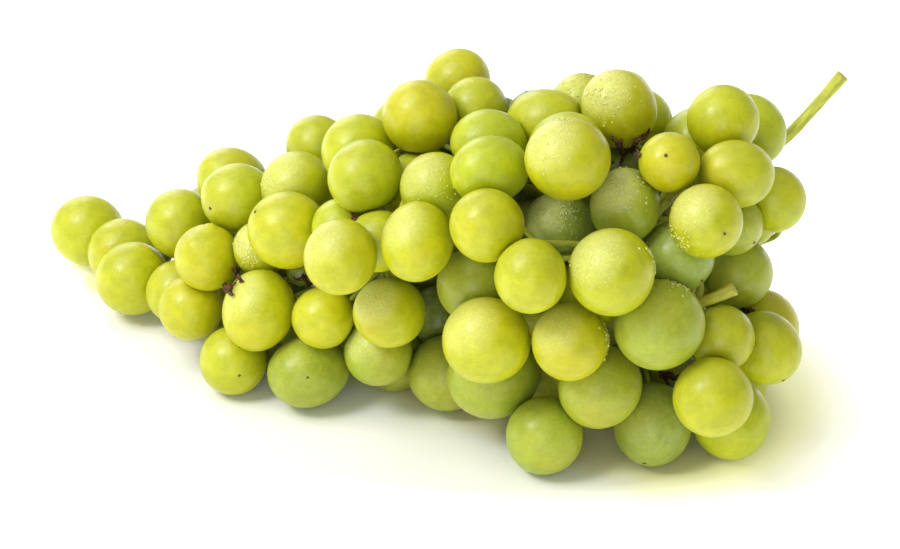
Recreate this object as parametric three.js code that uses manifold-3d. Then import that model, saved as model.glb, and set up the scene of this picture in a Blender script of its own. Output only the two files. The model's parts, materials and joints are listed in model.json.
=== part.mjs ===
// A bunch of green table grapes lying on its side: about a hundred berries in thirteen
// sprays on one branching green stem. Millimetres, +Z up, the stem end towards +X.
import * as THREE from 'three';
import { mergeVertices } from 'three/addons/utils/BufferGeometryUtils.js';
import Module from 'manifold-3d';

const wasm = await Module();
wasm.setup();

// ---------------------------------------------------------------- driving dimensions

// The show side is laid out as it looks from this viewpoint. "Across" and "up" are
// measured on the upright plane through SIGHT.centre that faces the viewpoint.
const SIGHT = {
  azimuth: 17,
  elevation: 30,
  distance: 700,
  centre: new THREE.Vector3(0, 0, 30),
};
// Where the middle of the finished bunch's box stands in the layout.
const MIDDLE = { x: -15.67, y: 1.41 };

// How the berries press: neighbours keep this share of their radii's sum, a berry on
// the table this share of its radius, and one on the main stem this much of its own.
const PRESS = { neighbour: 0.95, table: 0.955, stem: 0.97 };
// How far a low berry would reach through the table, before the table flattens it.
const FOOT_DEPTH = 0.9;
// Clearance between separate pieces, and how far fused berries reach into each other.
const GAP = 0.3;
const FUSE = 0.35;

// How the berries and stems are moved, step by step, until they lie right.
const STEPS = { show: 400, hidden: 200, path: 80, bend: 60, pole: 40, stub: 20 };
// The longest move of a show berry in a step, and the least gap that it leans back over.
const LONGEST_MOVE = 6;
const LEAN = 0.15;
// How much of an overlap a hidden berry yields in a step to a show berry or to a hidden
// one, how strongly it is drawn over a small gap, and how wide that gap may be, as a
// share of the radii's sum.
const YIELD = { shown: 0.5, hidden: 0.3, drawn: 0.04, reach: 1.12 };
// How far a stem that would show between the berries moves back in a step.
const HIDE_STEP = 0.6;

// The bunch's outline, lying on the table: stations along the main stem.
const OUTLINE = [
  // x, middle y, half breadth, height
  [-112, 24, 4, 14],
  [-100, 23, 11, 20],
  [-76, 18, 23, 36],
  [-50, 12, 33, 54],
  [-25, 9, 40, 70],
  [0, 8, 45, 82],
  [30, 8, 48, 86],
  [60, 10, 46, 82],
  [80, 12, 37, 70],
  [92, 14, 18, 56],
];

// Hidden berries fill the outline in shells this far in, at this stride along and
// round each shell, wherever this share of the radii's sum is free.
const SHELLS = [0, 15];
const SHELL_STRIDE = 6;
const SHELL_ROOM = 0.96;
const SHELL_ENDS = { from: 88, to: -104 };
const SHELL_ROUNDS = 2;
// Their radii run from the least to this much more, in golden steps.
const HIDDEN_SIZE = { least: 8.4, spread: 1.5, ratio: 1.05 };
const GOLDEN = 0.618034;
// A berry is covered where its rim, at this share of its radius, is out of sight.
const RIM = { share: 0.93, spots: 8 };

// The berries of the show side: across, up, breadth as seen, length over breadth, tilt
// of the length as seen (null where it can't be told) and lift towards the viewpoint.
const SHOW = [
  // the tip
  [-90.5, 11.0, 17.5, 1.06, null, -26],
  [-81.5, 5.3, 17.4, 1.04, null, -4],
  [-79.2, -1.0, 18.2, 1.04, null, 4],
  [-67.3, 12.6, 17.5, 1.04, null, 0],
  [-60.7, 4.2, 16.6, 1.05, null, 4],
  [-67.8, -4.3, 16.0, 1.05, null, 2],
  [-64.7, -8.3, 16.3, 1.03, null, 12],
  // the slope up from the tip
  [-54.2, 22.8, 17.2, 1.14, -35, 8],
  [-52.8, 19.0, 17.6, 1.08, -8, 4],
  [-38.0, 21.6, 18.4, 1.04, null, -2],
  [-40.6, 11.0, 19.7, 1.03, null, 6],
  [-47.2, 6.6, 14.0, 1.03, null, -6],
  [-27.4, 4.5, 18.0, 1.08, 80, 8],
  [-17.8, 8.4, 15.6, 1.03, null, -4],
  [-21.3, 24.5, 18.0, 1.07, 45, 2],
  [-33.0, 31.7, 16.0, 1.05, null, -4],
  [-22.9, 31.0, 18.0, 1.06, 20, -2],
  // the ridge
  [-7.5, 39.4, 18.5, 1.02, null, 6],
  [1.8, 47.7, 16.8, 1.08, 65, 0],
  [6.5, 41.3, 16.0, 1.04, null, -12],
  [-12.0, 36.5, 15.0, 1.04, null, -8],
  [9.8, 32.6, 17.6, 1.12, 0, -2],
  [-3.5, 21.6, 18.0, 1.03, null, -1],
  [10.0, 26.2, 17.2, 1.20, 12, 6],
  [-8.2, 8.2, 18.0, 1.17, 80, 5],
  [9.3, 12.3, 18.4, 1.03, null, 4],
  // the lower left
  [-47.8, -8.8, 18.0, 1.18, 72, 14],
  [-54.2, -21.5, 16.8, 1.05, 80, 0],
  [-31.7, -10.8, 15.7, 1.02, null, 4],
  [-35.4, -24.2, 18.0, 1.18, 18, -3],
  [-17.9, -19.2, 16.8, 1.03, null, -3],
  [-15.2, -9.5, 17.8, 1.06, 0, 6],
  // the middle
  [6.3, -2.6, 19.5, 1.02, null, -4],
  [20.2, -0.3, 18.3, 1.03, 90, 10],
  [9.1, -16.5, 21.5, 1.03, 0, 10],
  [10.8, -25.2, 21.4, 1.10, 20, 0],
  [30.0, -16.9, 19.6, 1.02, null, 14],
  [-0.8, -24.5, 19.2, 1.02, null, -4],
  // the lower right
  [37.6, -28.1, 20.0, 1.10, 35, 12],
  [23.7, -40.2, 19.2, 1.02, null, 0],
  [52.3, -12.6, 22.9, 1.02, null, 4],
  [50.6, -37.5, 20.0, 1.05, 90, 0],
  [65.8, -30.6, 19.9, 1.02, null, 20],
  [70.3, -36.4, 19.4, 1.04, null, -3],
  [71.3, -27.0, 16.0, 1.03, null, -22],
  [78.9, -18.3, 17.6, 1.10, -55, -8],
  [77.8, -13.5, 19.0, 1.04, null, -24],
  [68.0, -16.0, 16.4, 1.03, null, -10],
  // the upper right
  [72.0, 0.5, 17.8, 1.04, null, -20],
  [57.0, 4.7, 18.4, 1.04, null, -5],
  [40.3, 0.6, 21.9, 1.02, null, 10],
  [27.2, 12.0, 17.6, 1.08, 0, -6],
  [43.8, 17.2, 17.7, 1.12, 88, -1],
  [29.4, 28.8, 20.4, 1.06, 5, 7],
  [29.2, 32.0, 17.6, 1.12, 0, 0],
  [42.2, 41.4, 18.6, 1.10, -60, 2],
  [47.0, 38.4, 17.0, 1.04, null, -10],
  [33.0, 42.4, 16.2, 1.04, null, -6],
  [23.7, 38.0, 17.0, 1.18, 0, -4],
  [54.8, 28.0, 15.2, 1.02, null, 6],
  [68.3, 38.5, 18.0, 1.03, null, 22],
  [75.2, 36.2, 17.4, 1.10, -55, 6],
  [71.6, 25.2, 16.8, 1.18, -5, 4],
  [64.0, 13.3, 18.6, 1.02, null, 7],
  [80.9, 18.8, 16.3, 1.05, null, -6],
  [70.2, 12.7, 16.0, 1.04, null, -12],
  [74.6, 14.8, 15.5, 1.04, null, -20],
  [61.5, 33.3, 17.0, 1.04, null, -14],
  // in the shade between the others
  [-26.8, 11.5, 15.5, 1.04, null, -8],
  [-13.5, -21.0, 16.0, 1.04, null, -20],
];

// The main stem from the tip to its cut end, as [x, y, z, radius] in the layout.
const MAIN_STEM = [
  [-90, 23, 9, 0.9],
  [-64, 17, 19, 1.2],
  [-32, 12, 34, 1.5],
  [0, 10, 41, 1.7],
  [30, 11, 46, 1.8],
  [54, 20, 50, 1.8],
  [67, 30, 55, 1.7],
];
// The bare end of the main stem, seen like the berries: across, up, lift, radius.
const STEM_END = [
  [84.0, 34.4, 1, 1.55],
  [88.3, 38.6, 2, 1.45],
  [93.4, 44.4, 4, 1.45],
  [98.2, 49.8, 6, 1.7],
];
// A side branch cut short near the stem end, from deep in the bunch to its cut face.
const STUB = [
  [58.5, -9.4, 31, 1.3],
  [63.0, -7.3, 35, 1.35],
  [67.0, -5.4, 37, 1.35],
  [71.2, -3.6, 38, 1.7],
];

// Colours, and the heights of a spray's middle that part the three tones of skin.
const COLOURS = { stem: '#b4b83c', yellow: '#d3d232', lime: '#bcc83a', green: '#93aa3e' };
const TONE_HEIGHTS = { green: 31, lime: 52 };
const ROUGHNESS = { stem: 0.6, skin: 0.35 };

// Sprays stand round the main stem at the turn of leaves, along this share of it. A
// spray takes in a berry by its distance from the spray's hub, plus so much for each
// berry that the spray has, and so much for each millimetre of gap over the free one.
const SPRAYS = 13;
const TURN = THREE.MathUtils.degToRad(137.5);
const LEAFY_SHARE = 0.64;
const SPRAY_COST = { berry: 4, gap: 20, freeGap: 0.5 };
// A spray's hub lies this far from the main stem to the outline, and its branch forks
// this far from the main stem to the middle of its berries.
const HUB_SHARE = 0.5;
const FORK_SHARE = 0.55;

// Stems: radii, sides, and the pull that keeps a path short.
const BRANCH_RADIUS = 1.1;
const PEDICEL_RADIUS = 0.65;
const COLLAR = { radius: 1.2, length: 1.8 };
const SIDES = { main: 7, stub: 6, branch: 5, pedicel: 3 };
const PATH_STEPS = 7;
const PATH_PULL = 0.3;
const BEND_PULL = 0.2;
const PATH_SAMPLES = 6;
const FORKS = 3;
// A pedicel leans towards the stem's end and away from the viewpoint.
const POLE_LEAN = { stemEnd: 0.35, back: 0.5 };

// A facetted berry's rings and sectors, its swell that makes up for its flat facets, and
// how near a neighbour presses it, as a share of the radii's sum.
const FACETS = { sectors: 8, rings: 5, swell: 1.04 };
const NEAR = 1.15;

// ---------------------------------------------------------------- the viewpoint

const azimuth = THREE.MathUtils.degToRad(SIGHT.azimuth);
const elevation = THREE.MathUtils.degToRad(SIGHT.elevation);
const BACK = new THREE.Vector3(
  Math.sin(azimuth) * Math.cos(elevation),
  -Math.cos(azimuth) * Math.cos(elevation),
  Math.sin(elevation),
);
const RIGHT = new THREE.Vector3(Math.cos(azimuth), Math.sin(azimuth), 0);
const UP = new THREE.Vector3().crossVectors(BACK, RIGHT);

// The point that is seen at (across, up) and lies "depth" in front of the sight plane.
function onSight(across, up, depth) {
  const near = 1 - depth / SIGHT.distance;
  return SIGHT.centre.clone()
    .addScaledVector(RIGHT, across * near)
    .addScaledVector(UP, up * near)
    .addScaledVector(BACK, depth);
}

function seenFrom(point) {
  const offset = point.clone().sub(SIGHT.centre);
  const depth = offset.dot(BACK);
  const near = 1 - depth / SIGHT.distance;
  return { across: offset.dot(RIGHT) / near, up: offset.dot(UP) / near, depth, near };
}

// ---------------------------------------------------------------- the outline

function outlineAt(x) {
  const last = OUTLINE.length - 1;
  const clamped = THREE.MathUtils.clamp(x, OUTLINE[0][0], OUTLINE[last][0]);
  const k = Math.min(OUTLINE.findLastIndex((row) => row[0] <= clamped), last - 1);
  const share = (clamped - OUTLINE[k][0]) / (OUTLINE[k + 1][0] - OUTLINE[k][0]);
  const [, middle, half, height] = OUTLINE[k].map(
    (value, column) => THREE.MathUtils.lerp(value, OUTLINE[k + 1][column], share),
  );
  return { middle, half, height };
}

// Above zero where a berry of this radius lies wholly inside the outline.
function roomInside(point, radius) {
  const first = OUTLINE[0][0];
  const last = OUTLINE[OUTLINE.length - 1][0];
  if (point.x < first + radius || point.x > last - radius) return -1;
  const { middle, half, height } = outlineAt(point.x);
  const across = (point.y - middle) / Math.max(half - radius, 0.5);
  const upward = (point.z - height / 2) / Math.max(height / 2 - radius, 0.5);
  return 1 - across * across - upward * upward;
}

// Walks back along a sight line to the first place where the berry fits.
function firstDepth(across, up, radius) {
  const reach = 70;
  let bestRoom = -Infinity;
  let bestDepth = 0;
  for (let depth = reach; depth > -reach; depth -= 1) {
    const room = roomInside(onSight(across, up, depth), radius);
    if (room > 0) return depth;
    if (room > bestRoom) {
      bestRoom = room;
      bestDepth = depth;
    }
  }
  return bestDepth;
}

// ---------------------------------------------------------------- the main stem

const stemPoints = [
  ...MAIN_STEM.map(([x, y, z]) => new THREE.Vector3(x, y, z)),
  ...STEM_END.map(([across, up, depth]) => onSight(across, up, depth)),
];
const stemRadii = [...MAIN_STEM, ...STEM_END].map((row) => row[3]);
const stemCurve = new THREE.CatmullRomCurve3(stemPoints);
const STEM_STEPS = 30;
const LEAFY_BEADS = 21;
const stemBeads = stemCurve.getPoints(STEM_STEPS).map((at, k) => {
  const place = (k / STEM_STEPS) * (stemRadii.length - 1);
  const low = Math.min(Math.floor(place), stemRadii.length - 2);
  const radius = THREE.MathUtils.lerp(stemRadii[low], stemRadii[low + 1], place - low);
  return { at, radius };
});

// The push that takes a berry clear of the main stem.
function pushFromStem(at, radius) {
  let deepest = 0;
  const push = new THREE.Vector3();
  for (const bead of stemBeads) {
    const away = at.clone().sub(bead.at);
    const overlap = radius * PRESS.stem + bead.radius + GAP - away.length();
    if (overlap > deepest) {
      deepest = overlap;
      push.copy(away.setLength(overlap));
    }
  }
  return push;
}

// ---------------------------------------------------------------- laying the berries

// Show berries slide along their sight lines only, each staying before or behind its
// neighbours as it started, until they press by the set share.
function layShowBerries() {
  const berries = SHOW.map(([across, up, breadth, ratio, tilt, lift]) => {
    const half = breadth / 2;
    const start = firstDepth(across, up, half) + lift;
    const radius = half * Math.sqrt(ratio) * (1 - start / SIGHT.distance);
    return { across, up, ratio, tilt, start, depth: start, radius, shown: true };
  });
  for (let step = 0; step < STEPS.show; step += 1) {
    berries.forEach((berry) => {
      berry.at = onSight(berry.across, berry.up, berry.depth);
    });
    const moves = berries.map((berry, i) => {
      let sum = 0;
      let count = 1;
      berries.forEach((other, j) => {
        if (i === j) return;
        const offset = berry.at.clone().sub(other.at);
        const along = offset.dot(BACK);
        const sideways = Math.max(offset.lengthSq() - along * along, 0);
        const touching = (berry.radius + other.radius) * PRESS.neighbour;
        const needed = Math.sqrt(Math.max(touching * touching - sideways, 0));
        const side = Math.sign(berry.start - other.start);
        const lack = Math.min(needed - along * side, LONGEST_MOVE);
        if (needed > 0 && lack > 0) {
          sum += lack * side;
          count += 1;
        }
      });
      const clear = pushFromStem(berry.at, berry.radius).dot(BACK);
      const lean = count === 1 ? LEAN : 0;
      return sum / 2 / count + clear / 4 + (berry.start - berry.depth) / 50 - lean;
    });
    berries.forEach((berry, i) => {
      berry.depth += moves[i];
      const low = berry.radius * PRESS.table - onSight(berry.across, berry.up, berry.depth).z;
      berry.depth += Math.max(low, 0) / BACK.z;
    });
  }
  berries.forEach((berry) => {
    berry.at = onSight(berry.across, berry.up, berry.depth);
  });
  return berries;
}

// Whether a berry behind is covered by the show berries, all over its disc.
function isCovered(at, radius, shown) {
  const seen = seenFrom(at);
  const rim = (radius * RIM.share) / seen.near;
  const spots = [[0, 0]];
  for (let k = 0; k < RIM.spots; k += 1) {
    const angle = (k / RIM.spots) * Math.PI * 2;
    spots.push([Math.cos(angle) * rim, Math.sin(angle) * rim]);
  }
  return spots.every(([dx, dy]) => shown.some((berry) => {
    const size = berry.radius / (1 - berry.depth / SIGHT.distance);
    const apart = Math.hypot(seen.across + dx - berry.across, seen.up + dy - berry.up);
    return apart < size && berry.depth > seen.depth;
  }));
}

// Berries in shells from the outline inwards, wherever there is room out of sight.
function fillShells(all, shown, tally) {
  const added = [];
  for (const shell of SHELLS) {
    for (let x = SHELL_ENDS.from; x > SHELL_ENDS.to; x -= SHELL_STRIDE) {
      const { middle, half, height } = outlineAt(x);
      const turns = Math.max(6, Math.round((Math.PI * (half + height / 2)) / SHELL_STRIDE));
      for (let k = 0; k < turns; k += 1) {
        const share = ((tally + added.length) * GOLDEN) % 1;
        const radius = HIDDEN_SIZE.least + HIDDEN_SIZE.spread * share;
        const wide = half - radius - shell;
        const tall = height / 2 - radius - shell;
        if (wide < 0 || tall < 0) continue;
        const angle = (k / turns) * Math.PI * 2;
        const at = new THREE.Vector3(
          x,
          middle + wide * Math.cos(angle),
          Math.max(height / 2 + tall * Math.sin(angle), radius * PRESS.table),
        );
        const free = [...all, ...added].every(
          (other) => other.at.distanceTo(at) > (other.radius + radius) * SHELL_ROOM,
        );
        if (!free || pushFromStem(at, radius).length() > 0) continue;
        if (!isCovered(at, radius, shown)) continue;
        added.push({ at, radius, ratio: HIDDEN_SIZE.ratio, tilt: null, shown: false });
      }
    }
  }
  return added;
}

// Hidden berries push apart where they press too hard and draw together where they
// nearly touch, while the show berries stay where they are.
function settleHidden(hidden, shown) {
  const all = [...shown, ...hidden];
  for (let step = 0; step < STEPS.hidden; step += 1) {
    const moves = hidden.map((berry) => {
      const move = new THREE.Vector3();
      for (const other of all) {
        if (other === berry) continue;
        const away = berry.at.clone().sub(other.at);
        const apart = away.length();
        const sum = berry.radius + other.radius;
        const overlap = sum * PRESS.neighbour - apart;
        const firm = other.shown ? YIELD.shown : YIELD.hidden;
        if (overlap > 0) move.addScaledVector(away, (firm * overlap) / apart);
        else if (apart < sum * YIELD.reach) {
          move.addScaledVector(away, (YIELD.drawn * overlap) / apart);
        }
      }
      return move.add(pushFromStem(berry.at, berry.radius));
    });
    hidden.forEach((berry, i) => {
      berry.at.add(moves[i]);
      berry.at.z = Math.max(berry.at.z, berry.radius * PRESS.table);
    });
  }
  return hidden.filter((berry) => isCovered(berry.at, berry.radius, shown));
}

function layHiddenBerries(shown) {
  let hidden = [];
  for (let round = 0; round < SHELL_ROUNDS; round += 1) {
    hidden = [...hidden, ...fillShells([...shown, ...hidden], shown, hidden.length)];
    hidden = settleHidden(hidden, shown);
  }
  return hidden;
}

// ---------------------------------------------------------------- sprays

// Each spray starts at the berry nearest its hub and takes in berries that touch it.
function gatherSprays(berries) {
  const hubs = Array.from({ length: SPRAYS }, (_, k) => {
    const root = stemCurve.getPoint((LEAFY_SHARE * (k + 0.5)) / SPRAYS);
    const { half, height } = outlineAt(root.x);
    const side = new THREE.Vector3(0, Math.cos(k * TURN) * half, Math.sin(k * TURN) * height / 2);
    return root.addScaledVector(side, HUB_SHARE);
  });
  const sizes = hubs.map((hub, k) => {
    const free = berries.filter((berry) => berry.spray === undefined);
    const first = free.reduce((a, b) => (a.at.distanceTo(hub) < b.at.distanceTo(hub) ? a : b));
    first.spray = k;
    return 1;
  });
  berries.forEach((berry) => {
    berry.fused = new Set();
  });
  for (;;) {
    let best = null;
    for (const berry of berries) {
      if (berry.spray !== undefined) continue;
      for (const mate of berries) {
        if (mate.spray === undefined) continue;
        const gap = berry.at.distanceTo(mate.at) - berry.radius - mate.radius;
        const away = berry.at.distanceTo(hubs[mate.spray]);
        const cost = away
          + SPRAY_COST.berry * sizes[mate.spray]
          + SPRAY_COST.gap * Math.max(gap - SPRAY_COST.freeGap, 0);
        if (!best || cost < best.cost) best = { berry, mate, cost };
      }
    }
    if (!best) break;
    best.berry.spray = best.mate.spray;
    best.berry.fused.add(best.mate);
    best.mate.fused.add(best.berry);
    sizes[best.mate.spray] += 1;
  }
}

// ---------------------------------------------------------------- stem paths

// How far a berry's skin is from its centre in a direction.
function reachOf(berry, direction) {
  const cosine = direction.dot(berry.axis);
  const along = (cosine * cosine) / berry.ratio;
  const across = (1 - cosine * cosine) * berry.ratio;
  return berry.radius / Math.sqrt(along + across);
}

// The push that takes a bead of this radius clear of every berry but the listed ones.
function pushFromBerries(at, radius, berries, except = []) {
  const push = new THREE.Vector3();
  let deepest = 0;
  for (const berry of berries) {
    if (except.includes(berry)) continue;
    const away = at.clone().sub(berry.at);
    const overlap = berry.radius * FACETS.swell + radius + GAP - away.length();
    if (overlap > deepest) {
      deepest = overlap;
      push.copy(away.setLength(overlap));
    }
  }
  return push;
}

// A step away from the viewpoint, wherever the berries don't hide a bead of the stem.
function stepOutOfSight(at, radius, berries) {
  const shown = berries.filter((berry) => berry.shown);
  const step = isCovered(at, radius, shown) ? 0 : HIDE_STEP;
  return BACK.clone().multiplyScalar(-step);
}

// A path between fixed ends, drawn tight but pushed out of sight and of the berries.
function threadPath(from, to, radius, berries) {
  const points = new THREE.LineCurve3(from, to).getPoints(PATH_STEPS);
  for (let step = 0; step < STEPS.path; step += 1) {
    for (let k = 1; k < PATH_STEPS; k += 1) {
      const middle = points[k - 1].clone().add(points[k + 1]).multiplyScalar(0.5);
      points[k].lerp(middle, PATH_PULL);
      points[k].add(stepOutOfSight(points[k], radius, berries));
      points[k].add(pushFromBerries(points[k], radius, berries));
    }
  }
  return points;
}

// Drops the bends that a path doesn't need to stay clear of the berries.
function thinPath(points, radius, berries) {
  const kept = [...points];
  for (let k = kept.length - 2; k > 0; k -= 1) {
    let clear = true;
    for (let f = 1; f < PATH_SAMPLES && clear; f += 1) {
      const bead = kept[k - 1].clone().lerp(kept[k + 1], f / PATH_SAMPLES);
      clear = pushFromBerries(bead, radius, berries).length() < GAP / 3;
    }
    if (clear) kept.splice(k, 1);
  }
  return kept;
}

// Where a later stem may fork off a path: places along its straight stretches.
function forksAlong(points) {
  return points.slice(1).flatMap((point, k) => Array.from(
    { length: FORKS },
    (_, f) => points[k].clone().lerp(point, (f + 1) / FORKS),
  ));
}

// Where a berry's pedicel meets it: on the side towards the hub, clear of neighbours.
function findPole(berry, hub, berries) {
  const toHub = hub.clone().sub(berry.at).normalize();
  toHub.x += POLE_LEAN.stemEnd;
  let pole = toHub.normalize();
  if (berry.tilt !== null) {
    const tilt = THREE.MathUtils.degToRad(berry.tilt);
    const long = new THREE.Vector3()
      .addScaledVector(RIGHT, Math.cos(tilt))
      .addScaledVector(UP, Math.sin(tilt));
    pole = long.multiplyScalar(long.dot(toHub) < 0 ? -1 : 1);
  }
  if (berry.shown) pole = pole.clone().addScaledVector(BACK, -POLE_LEAN.back).normalize();
  berry.axis = pole.clone();
  const stand = berry.radius + GAP + 2 * COLLAR.radius;
  for (let step = 0; step < STEPS.pole; step += 1) {
    const tip = berry.at.clone().addScaledVector(pole, stand);
    tip.add(stepOutOfSight(tip, COLLAR.radius, berries));
    tip.add(pushFromBerries(tip, COLLAR.radius, berries, [berry]));
    pole = tip.sub(berry.at).normalize();
  }
  if (berry.tilt === null) berry.axis = pole.clone();
  return pole;
}

// The cut side branch: threaded out from the main stem, then straight to its cut face.
function growStub(berries) {
  const bare = STUB.map(([across, up, depth]) => onSight(across, up, depth));
  const radius = STUB[0][3];
  for (let step = 0; step < STEPS.stub; step += 1) {
    bare.forEach((point) => point.add(pushFromBerries(point, radius, berries)));
  }
  const root = stemBeads.slice(0, LEAFY_BEADS).reduce(
    (a, b) => (a.at.distanceTo(bare[0]) < b.at.distanceTo(bare[0]) ? a : b),
  );
  const hidden = thinPath(threadPath(root.at, bare[0], radius, berries), radius, berries);
  const radii = [...hidden.map(() => radius), ...STUB.slice(1).map((row) => row[3])];
  return { points: [...hidden, ...bare.slice(1)], radii, sides: SIDES.stub };
}

// Sprays that lie low in the bunch are greener, and those on top are yellower.
function skinColour(height) {
  if (height < TONE_HEIGHTS.green) return COLOURS.green;
  return height < TONE_HEIGHTS.lime ? COLOURS.lime : COLOURS.yellow;
}

// ---------------------------------------------------------------- solids

// Joins the vertices that stand in one place.
function weld(geometry) {
  geometry.deleteAttribute('normal');
  geometry.deleteAttribute('uv');
  return mergeVertices(geometry, 1e-4);
}

function toSolid(geometry) {
  const merged = weld(geometry);
  return new wasm.Manifold(new wasm.Mesh({
    numProp: 3,
    vertProperties: new Float32Array(merged.attributes.position.array),
    triVerts: new Uint32Array(merged.index.array),
  }));
}

function toGeometry(solid) {
  const mesh = solid.getMesh();
  const geometry = new THREE.BufferGeometry();
  geometry.setAttribute('position', new THREE.BufferAttribute(mesh.vertProperties, 3));
  geometry.setIndex(new THREE.BufferAttribute(mesh.triVerts, 1));
  geometry.computeVertexNormals();
  return geometry;
}

// A closed tube with the given radius at each point of its path.
function tube(points, radii, sides) {
  const steps = points.length - 1;
  const geometry = new THREE.CylinderGeometry(1, 1, 1, sides, steps);
  const tangents = points.map((point, k) => {
    const before = points[Math.max(k - 1, 0)];
    const after = points[Math.min(k + 1, steps)];
    return after.clone().sub(before).normalize();
  });
  const start = new THREE.Vector3(0, 0, 1).cross(tangents[0]).normalize();
  const frames = tangents.map((tangent, k) => {
    if (k > 0) {
      const turn = new THREE.Quaternion().setFromUnitVectors(tangents[k - 1], tangent);
      start.applyQuaternion(turn);
    }
    return { first: start.clone(), second: tangent.clone().cross(start) };
  });
  const position = geometry.attributes.position;
  for (let k = 0; k < position.count; k += 1) {
    const ring = Math.round((0.5 - position.getY(k)) * steps);
    const placed = points[ring].clone()
      .addScaledVector(frames[ring].first, position.getX(k) * radii[ring])
      .addScaledVector(frames[ring].second, position.getZ(k) * radii[ring]);
    position.setXYZ(k, placed.x, placed.y, placed.z);
  }
  return geometry;
}

// Distance from a berry's centre to the plane on which it presses a neighbour.
function contactPlane(berry, other) {
  const normal = other.at.clone().sub(berry.at);
  const apart = normal.length();
  const square = apart * apart + berry.radius * berry.radius - other.radius * other.radius;
  return { normal: normal.normalize(), at: square / (2 * apart) };
}

// A facetted berry, longer along its axis, flat where it presses its neighbours and
// drawn out a little to the berries of its spray that it is fused with.
function facetBerry(berry, berries) {
  const ball = new THREE.SphereGeometry(1, FACETS.sectors, FACETS.rings);
  const merged = weld(ball.rotateX(Math.PI / 2));
  const toAxis = new THREE.Quaternion()
    .setFromUnitVectors(new THREE.Vector3(0, 0, 1), berry.axis);
  const across = (berry.radius * FACETS.swell) / Math.sqrt(berry.ratio);
  const along = berry.radius * FACETS.swell * Math.sqrt(berry.ratio);
  const position = merged.attributes.position;
  const vertices = Array.from({ length: position.count }, (_, k) => {
    const unit = new THREE.Vector3().fromBufferAttribute(position, k);
    return unit.multiply(new THREE.Vector3(across, across, along)).applyQuaternion(toAxis);
  });
  const near = berries.filter((other) => other !== berry
    && other.at.distanceTo(berry.at) < (berry.radius + other.radius) * NEAR);
  // The corner nearest a direction is turned onto it and drawn out to at least "least".
  const drawOut = (direction, least) => {
    const closest = vertices.reduce(
      (a, b) => (a.angleTo(direction) < b.angleTo(direction) ? a : b),
    );
    closest.copy(direction).multiplyScalar(Math.max(closest.length(), least));
  };
  for (const other of berry.fused) {
    const plane = contactPlane(berry, other);
    drawOut(plane.normal, plane.at + FUSE);
  }
  if (berry.at.z < berry.radius) drawOut(new THREE.Vector3(0, 0, -1), berry.at.z + FOOT_DEPTH);
  for (const other of near) {
    if (berry.fused.has(other)) continue;
    const plane = contactPlane(berry, other);
    const limit = plane.at - GAP / 2;
    for (const vertex of vertices) {
      const out = vertex.dot(plane.normal);
      if (out > limit) vertex.multiplyScalar(limit / out);
    }
  }
  vertices.forEach((vertex, k) => {
    vertex.add(berry.at);
    position.setXYZ(k, vertex.x, vertex.y, vertex.z);
  });
  return merged;
}

// ---------------------------------------------------------------- growing the stem

// Bends the leafy stretch of the main stem clear of the berries.
function bendStem(berries) {
  for (let step = 0; step < STEPS.bend; step += 1) {
    for (let k = 0; k < LEAFY_BEADS; k += 1) {
      const bead = stemBeads[k];
      if (k > 0) {
        const middle = stemBeads[k - 1].at.clone().add(stemBeads[k + 1].at).multiplyScalar(0.5);
        bead.at.lerp(middle, BEND_PULL);
      }
      bead.at.add(pushFromBerries(bead.at, bead.radius, berries));
    }
  }
}

// The main stem, the branch of each spray and the pedicel of each berry, as tubes.
function growStem(berries) {
  const tubes = [{
    points: stemBeads.map((bead) => bead.at),
    radii: stemBeads.map((bead) => bead.radius),
    sides: SIDES.main,
  }];
  for (let k = 0; k < SPRAYS; k += 1) {
    const mates = berries.filter((berry) => berry.spray === k);
    const centre = new THREE.Vector3();
    mates.forEach((berry) => centre.addScaledVector(berry.at, 1 / mates.length));
    const nearest = stemBeads.slice(0, LEAFY_BEADS).reduce(
      (a, b) => (a.at.distanceTo(centre) < b.at.distanceTo(centre) ? a : b),
    );
    const root = stemBeads[Math.min(stemBeads.indexOf(nearest) + 2, LEAFY_BEADS)];
    const fork = root.at.clone().lerp(centre, FORK_SHARE);
    for (let step = 0; step < STEPS.bend; step += 1) {
      fork.add(pushFromBerries(fork, BRANCH_RADIUS, berries));
    }
    const branch = thinPath(
      threadPath(root.at, fork, BRANCH_RADIUS, berries),
      BRANCH_RADIUS,
      berries,
    );
    tubes.push({ points: branch, radii: branch.map(() => BRANCH_RADIUS), sides: SIDES.branch });
    const forks = forksAlong(branch);
    mates.sort((a, b) => a.at.distanceTo(fork) - b.at.distanceTo(fork));
    for (const berry of mates) {
      const pole = findPole(berry, fork, berries);
      const reach = reachOf(berry, pole) * FACETS.swell + GAP;
      const tip = berry.at.clone().addScaledVector(pole, reach);
      const neck = tip.clone().addScaledVector(pole, COLLAR.length);
      const from = forks.reduce(
        (a, b) => (a.distanceTo(neck) < b.distanceTo(neck) ? a : b),
      );
      const path = thinPath(
        threadPath(from, neck, PEDICEL_RADIUS, berries),
        PEDICEL_RADIUS,
        berries,
      );
      forks.push(...forksAlong(path).slice(0, -FORKS));
      const radii = [...path.map(() => PEDICEL_RADIUS), COLLAR.radius];
      tubes.push({ points: [...path, tip], radii, sides: SIDES.pedicel });
    }
  }
  return tubes;
}

// ---------------------------------------------------------------- the bunch

const shownBerries = layShowBerries();
const berries = [...shownBerries, ...layHiddenBerries(shownBerries)];
gatherSprays(berries);
bendStem(berries);
const stemTubes = [...growStem(berries), growStub(berries)];

const bunch = new THREE.Group();
bunch.position.set(-MIDDLE.x, -MIDDLE.y, 0);

function addPiece(name, solid, colour, roughness) {
  const material = new THREE.MeshStandardMaterial({ color: colour, roughness, metalness: 0 });
  const mesh = new THREE.Mesh(toGeometry(solid), material);
  mesh.name = name;
  bunch.add(mesh);
}

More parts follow.
